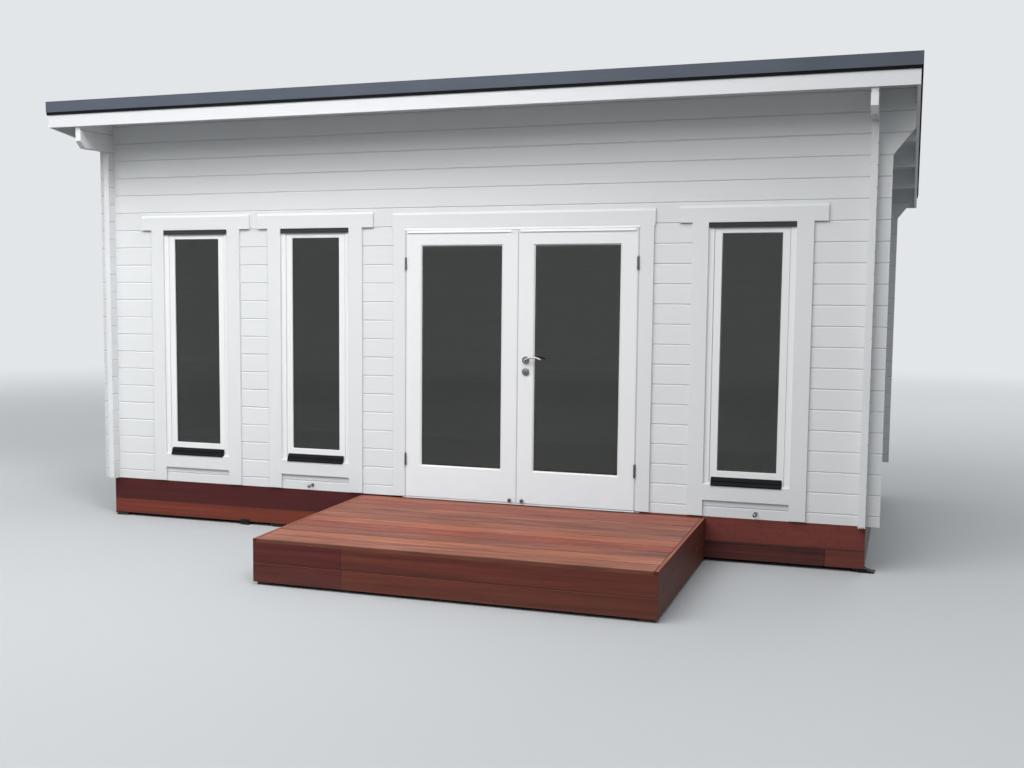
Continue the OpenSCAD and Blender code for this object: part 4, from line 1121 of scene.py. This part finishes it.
# %% [markdown]
# ## Lips under the head drips
# The black profile over each window ends in a thin lip that hangs in front of
# the sash, so that water drips off clear of the timber. Part of the lip's dark
# face is painted shade: it stands in for the shadow that the profile casts on the top of the sash.

# %% Head drip lips
# Part of this drop is painted shade under the profile.
LIP_DROP = 0.009
LIP_T = 0.003
HEAD_DRIP_T = 0.012
HEAD_DRIP_H = 0.025
LIP_EASE = 0.0008

drip_low, drip_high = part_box("window_drips")
half_drip = WINDOW_CENTRES[0] - drip_low.x
lip_z = drip_high.z - HEAD_DRIP_H
lip_y = wall_face - HEAD_DRIP_T
bm = bmesh.new()
for x in WINDOW_CENTRES:
    block(bm, (x - half_drip, lip_y, lip_z - LIP_DROP), (x + half_drip, lip_y + LIP_T, lip_z - HAIR))
round_edges(bm, LIP_EASE)
finish_piece(bm, "head_drip_lips_and_shade", dark_coat, "root", slot="black_profile")

# %% [markdown]
# ## Meeting and sash seals
# One strip closes the gap where the two leaves meet and rides on the left leaf.
# A ring of strips closes the gap round each window sash.

# %% Meeting and sash seals
MEETING_PLAY = 0.0012
SASH_GAP = 0.004
SASH_SEAL_Y = (0.003, 0.009)

bm = bmesh.new()
block(bm, (left_high.x, seal_y[0], left_low.z), (right_low.x - MEETING_PLAY, seal_y[1], left_high.z))
round_edges(bm, SOFT_EASE)
finish_piece(bm, "meeting_seal", white_rubber, "left_door", slot="white_joinery")

sash_low, sash_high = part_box("window_sashes")
half_sash = WINDOW_CENTRES[0] - sash_low.x
bm = bmesh.new()
for x in WINDOW_CENTRES:
    ring(
        bm, (x - half_sash - SASH_GAP, sash_low.y + SASH_SEAL_Y[0], sash_low.z - SASH_GAP),
        (x + half_sash + SASH_GAP, sash_low.y + SASH_SEAL_Y[1], sash_high.z + SASH_GAP), SASH_GAP - SEAL_PLAY,
    )
finish_piece(bm, "sash_seals", white_rubber, "root", slot="white_joinery")

# %% [markdown]
# ## Under the flashing
# Between the flashings and the boards behind them runs a black foam strip that
# keeps wind and insects out. It hangs two centimetres below the flashing, as
# the thin black line along the eaves. The strips at the sides follow the roof:
# each one is a box whose far end is sheared down to the slope.

# %% Closure strips
STRIP_SHOWN = 0.020
STRIP_HIDDEN = 0.030
STRIP_DEPTH = 0.0076
FLASHING_T = 0.003
FLASHING_H = 0.080
ROOF_PITCH = math.radians(7.7)
SLOPE = math.tan(ROOF_PITCH)


def sloped_block(bm, low, high):
    """Adds a box that falls towards the rear; its heights are those at its front."""
    for vert in block(bm, low, high):
        vert.co.z -= (vert.co.y - low[1]) * SLOPE


front_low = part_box("front_flashing")[0]
rear_low, rear_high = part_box("rear_flashing")
side_low, side_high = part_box("side_flashings")
side_in = side_high.x - FLASHING_T
board_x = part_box("front_fascia")[1].x
face_y = (front_low.y + FLASHING_T, rear_high.y - FLASHING_T)
bm = bmesh.new()
block(
    bm, (-side_in, face_y[0], front_low.z - STRIP_SHOWN),
    (side_in, face_y[0] + STRIP_DEPTH, front_low.z + STRIP_HIDDEN),
)
block(
    bm, (-side_in, face_y[1] - STRIP_DEPTH, rear_low.z - STRIP_SHOWN),
    (side_in, face_y[1], rear_low.z + STRIP_HIDDEN),
)
strip_y = (face_y[0] + STRIP_DEPTH, face_y[1] - STRIP_DEPTH)
edge_z = side_high.z - FLASHING_H - (strip_y[0] - side_low.y) * SLOPE
for x0, x1 in ((-board_x - STRIP_DEPTH, -board_x), (board_x, board_x + STRIP_DEPTH)):
    sloped_block(bm, (x0, strip_y[0], edge_z - STRIP_SHOWN), (x1, strip_y[1], edge_z + STRIP_HIDDEN))
round_edges(bm, SOFT_EASE)
finish_piece(bm, "closure_strips", black_foam, "root", slot="black_profile")

# %% [markdown]
# ## Roof screws
# Hexagon screws with wide washers hold the sheet down through the tops of its
# ribs, in rows across the roof. Each one is two short cones, a washer and a
# head, that a matrix tilts to the slope and moves to their place.

# %% Roof screws
RIB_PITCH = 0.190
RIB_COUNT = 31
RIB_START = 0.120
SCREW_ROWS = 7
WASHER = (0.009, 0.007, 0.0024)
HEAD = (0.0045, 0.0042, 0.005)
WASHER_Z = 0.0010
HEAD_Z = 0.0045


def short_cone(bm, place, height, size, segments):
    """Adds a cone with its middle at a height above a placing matrix; size is two radii and a depth."""
    bmesh.ops.create_cone(
        bm, cap_ends=True, segments=segments, radius1=size[0], radius2=size[1], depth=size[2],
        matrix=place @ Matrix.Translation((0.0, 0.0, height)),
    )


sheet_low, sheet_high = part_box("roof_sheet")
rib_y = (sheet_low.y + RIB_START, sheet_high.y - RIB_START)
tilt = Matrix.Rotation(-ROOF_PITCH, 4, "X")
bm = bmesh.new()
for row in range(SCREW_ROWS):
    share = (row + 0.5) / SCREW_ROWS
    y = rib_y[0] + (rib_y[1] - rib_y[0]) * share
    z = sheet_high.z - (y - rib_y[0]) * SLOPE
    for rib in range(RIB_COUNT):
        x = (rib - (RIB_COUNT - 1) / 2) * RIB_PITCH
        place = Matrix.Translation((x, y, z)) @ tilt
        short_cone(bm, place, WASHER_Z, WASHER, segments=8)
        short_cone(bm, place, HEAD_Z, HEAD, segments=6)
finish_piece(bm, "roof_screws", slate_steel, "root", slot="roof_metal")

# %% [markdown]
# ## Barge board screws and key slot
# Dark screws show near the lower edge of each barge board, on the inside, where
# they hold it to the purlins. The lock has a slot for its key.

# %% Barge board screws
SCREW_YS = (-1.2995, -0.89, 2.39, 2.56)
SCREW = (0.006, 0.004, 0.003)
SCREW_Z = 0.0015
SCREW_RISE = 0.012
BARGE_T = 0.020

barge_low, barge_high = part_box("barge_boards")
bm = bmesh.new()
for side in (-1.0, 1.0):
    turn = Matrix.Rotation(math.radians(-90.0 * side), 4, "Y")
    for y in SCREW_YS:
        z = barge_low.z + (barge_high.y - y) * SLOPE + SCREW_RISE
        place = Matrix.Translation((side * (barge_high.x - BARGE_T), y, z)) @ turn
        short_cone(bm, place, SCREW_Z, SCREW, segments=12)
finish_piece(bm, "barge_screws", black_coat, "root", slot="steel")

# %% Key slot
LEVER_X = 0.5675
LOCK_Z = 1.245
LOCK_ROSE_T = 0.012
KEY_SLOT = (0.0022, 0.0115)
KEY_SLOT_Y = (-0.0003, 0.002)
KEY_SLOT_EASE = 0.0004

lock_y = right_low.y - LOCK_ROSE_T
bm = bmesh.new()
block(
    bm, (LEVER_X - KEY_SLOT[0] / 2, lock_y + KEY_SLOT_Y[0], LOCK_Z - KEY_SLOT[1] / 2),
    (LEVER_X + KEY_SLOT[0] / 2, lock_y + KEY_SLOT_Y[1], LOCK_Z + KEY_SLOT[1] / 2),
)
round_edges(bm, KEY_SLOT_EASE)
finish_piece(bm, "key_slot", black_coat, "right_door", slot="steel")

# %% [markdown]
# ## Packers
# The packers under the bearers are stacks of thin plates, slightly out of line,
# with a wooden plate among the plastic ones. The stack at the right front
# corner stands out from under the bearers, and one packer was driven in from
# the front, so that its thick end stops against the lower board. A fixed seed
# makes the random shifts the same in every run.

# %% Packers
PACKER = 0.100
PACKER_COLUMNS = 5
PACKER_SEED = 5
PLATE_PLAY = 0.004
LAYERS = ((0.0, 0.010), (0.010, 0.016), (0.016, 0.025))
SHIFT = 0.006
SWAY = 0.05
PROUD_SHIFT = Vector((0.062, -0.004, 0.0))
PROUD_LEAN = 0.3
PROUD_SWAY = 0.25
DRIVEN_X = -1.66
DRIVEN_W = 0.070
DRIVEN_OUT = 0.012
DRIVEN_H = 0.042
DRIVEN_TAIL_Z = (0.008, 0.0245)
DRIVEN_PLAY = 0.0005


def packer_stack(plastic, wood, x, y, chance, proud):
    """Adds a stack of thin plates; a proud one stands out and has no wooden plate."""
    sway = PROUD_SWAY if proud else SWAY
    half = Vector((PACKER / 2 - PLATE_PLAY, PACKER / 2 - PLATE_PLAY, 0.0))
    for layer, (z0, z1) in enumerate(LAYERS):
        middle = Vector((x + chance.uniform(-SHIFT, SHIFT), y + chance.uniform(-SHIFT, SHIFT), 0.0))
        if proud:
            middle += PROUD_SHIFT * (1.0 - PROUD_LEAN * layer)
        bm = wood if layer == 1 and not proud else plastic
        plate = block(bm, middle - half + Vector((0.0, 0.0, z0)), middle + half + Vector((0.0, 0.0, z1)))
        turn = Matrix.Rotation(chance.uniform(-sway, sway), 3, "Z")
        bmesh.ops.rotate(bm, verts=plate, cent=middle, matrix=turn)


low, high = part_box("ground_packers")
reach = high.x - low.x - PACKER
columns = [low.x + PACKER / 2 + i * reach / (PACKER_COLUMNS - 1) for i in range(PACKER_COLUMNS)]
places = [(x, y) for x in columns for y in (low.y + PACKER / 2, high.y - PACKER / 2)]
places += [(x, (low.y + high.y) / 2) for x in (columns[0], columns[-1])]
proud_corner = (columns[-1], low.y + PACKER / 2)
chance = random.Random(PACKER_SEED)
plastic, wood = bmesh.new(), bmesh.new()
for x, y in places:
    packer_stack(plastic, wood, x, y, chance, (x, y) == proud_corner)

driven = (DRIVEN_X - DRIVEN_W / 2, DRIVEN_X + DRIVEN_W / 2)
block(plastic, (driven[0], low.y - DRIVEN_OUT, 0.0), (driven[1], low.y - DRIVEN_PLAY, DRIVEN_H))
block(
    plastic, (driven[0], low.y + DRIVEN_PLAY, DRIVEN_TAIL_Z[0]),
    (driven[1], low.y + PACKER, DRIVEN_TAIL_Z[1]),
)
for bm in (plastic, wood):
    round_edges(bm, SOFT_EASE)
finish_piece(plastic, "packer_plates", packer_plastic, "root", "ground_packers", slot="packer_plastic")
finish_piece(wood, "packer_wedges", packer_wood, "root", slot="packer_plastic")
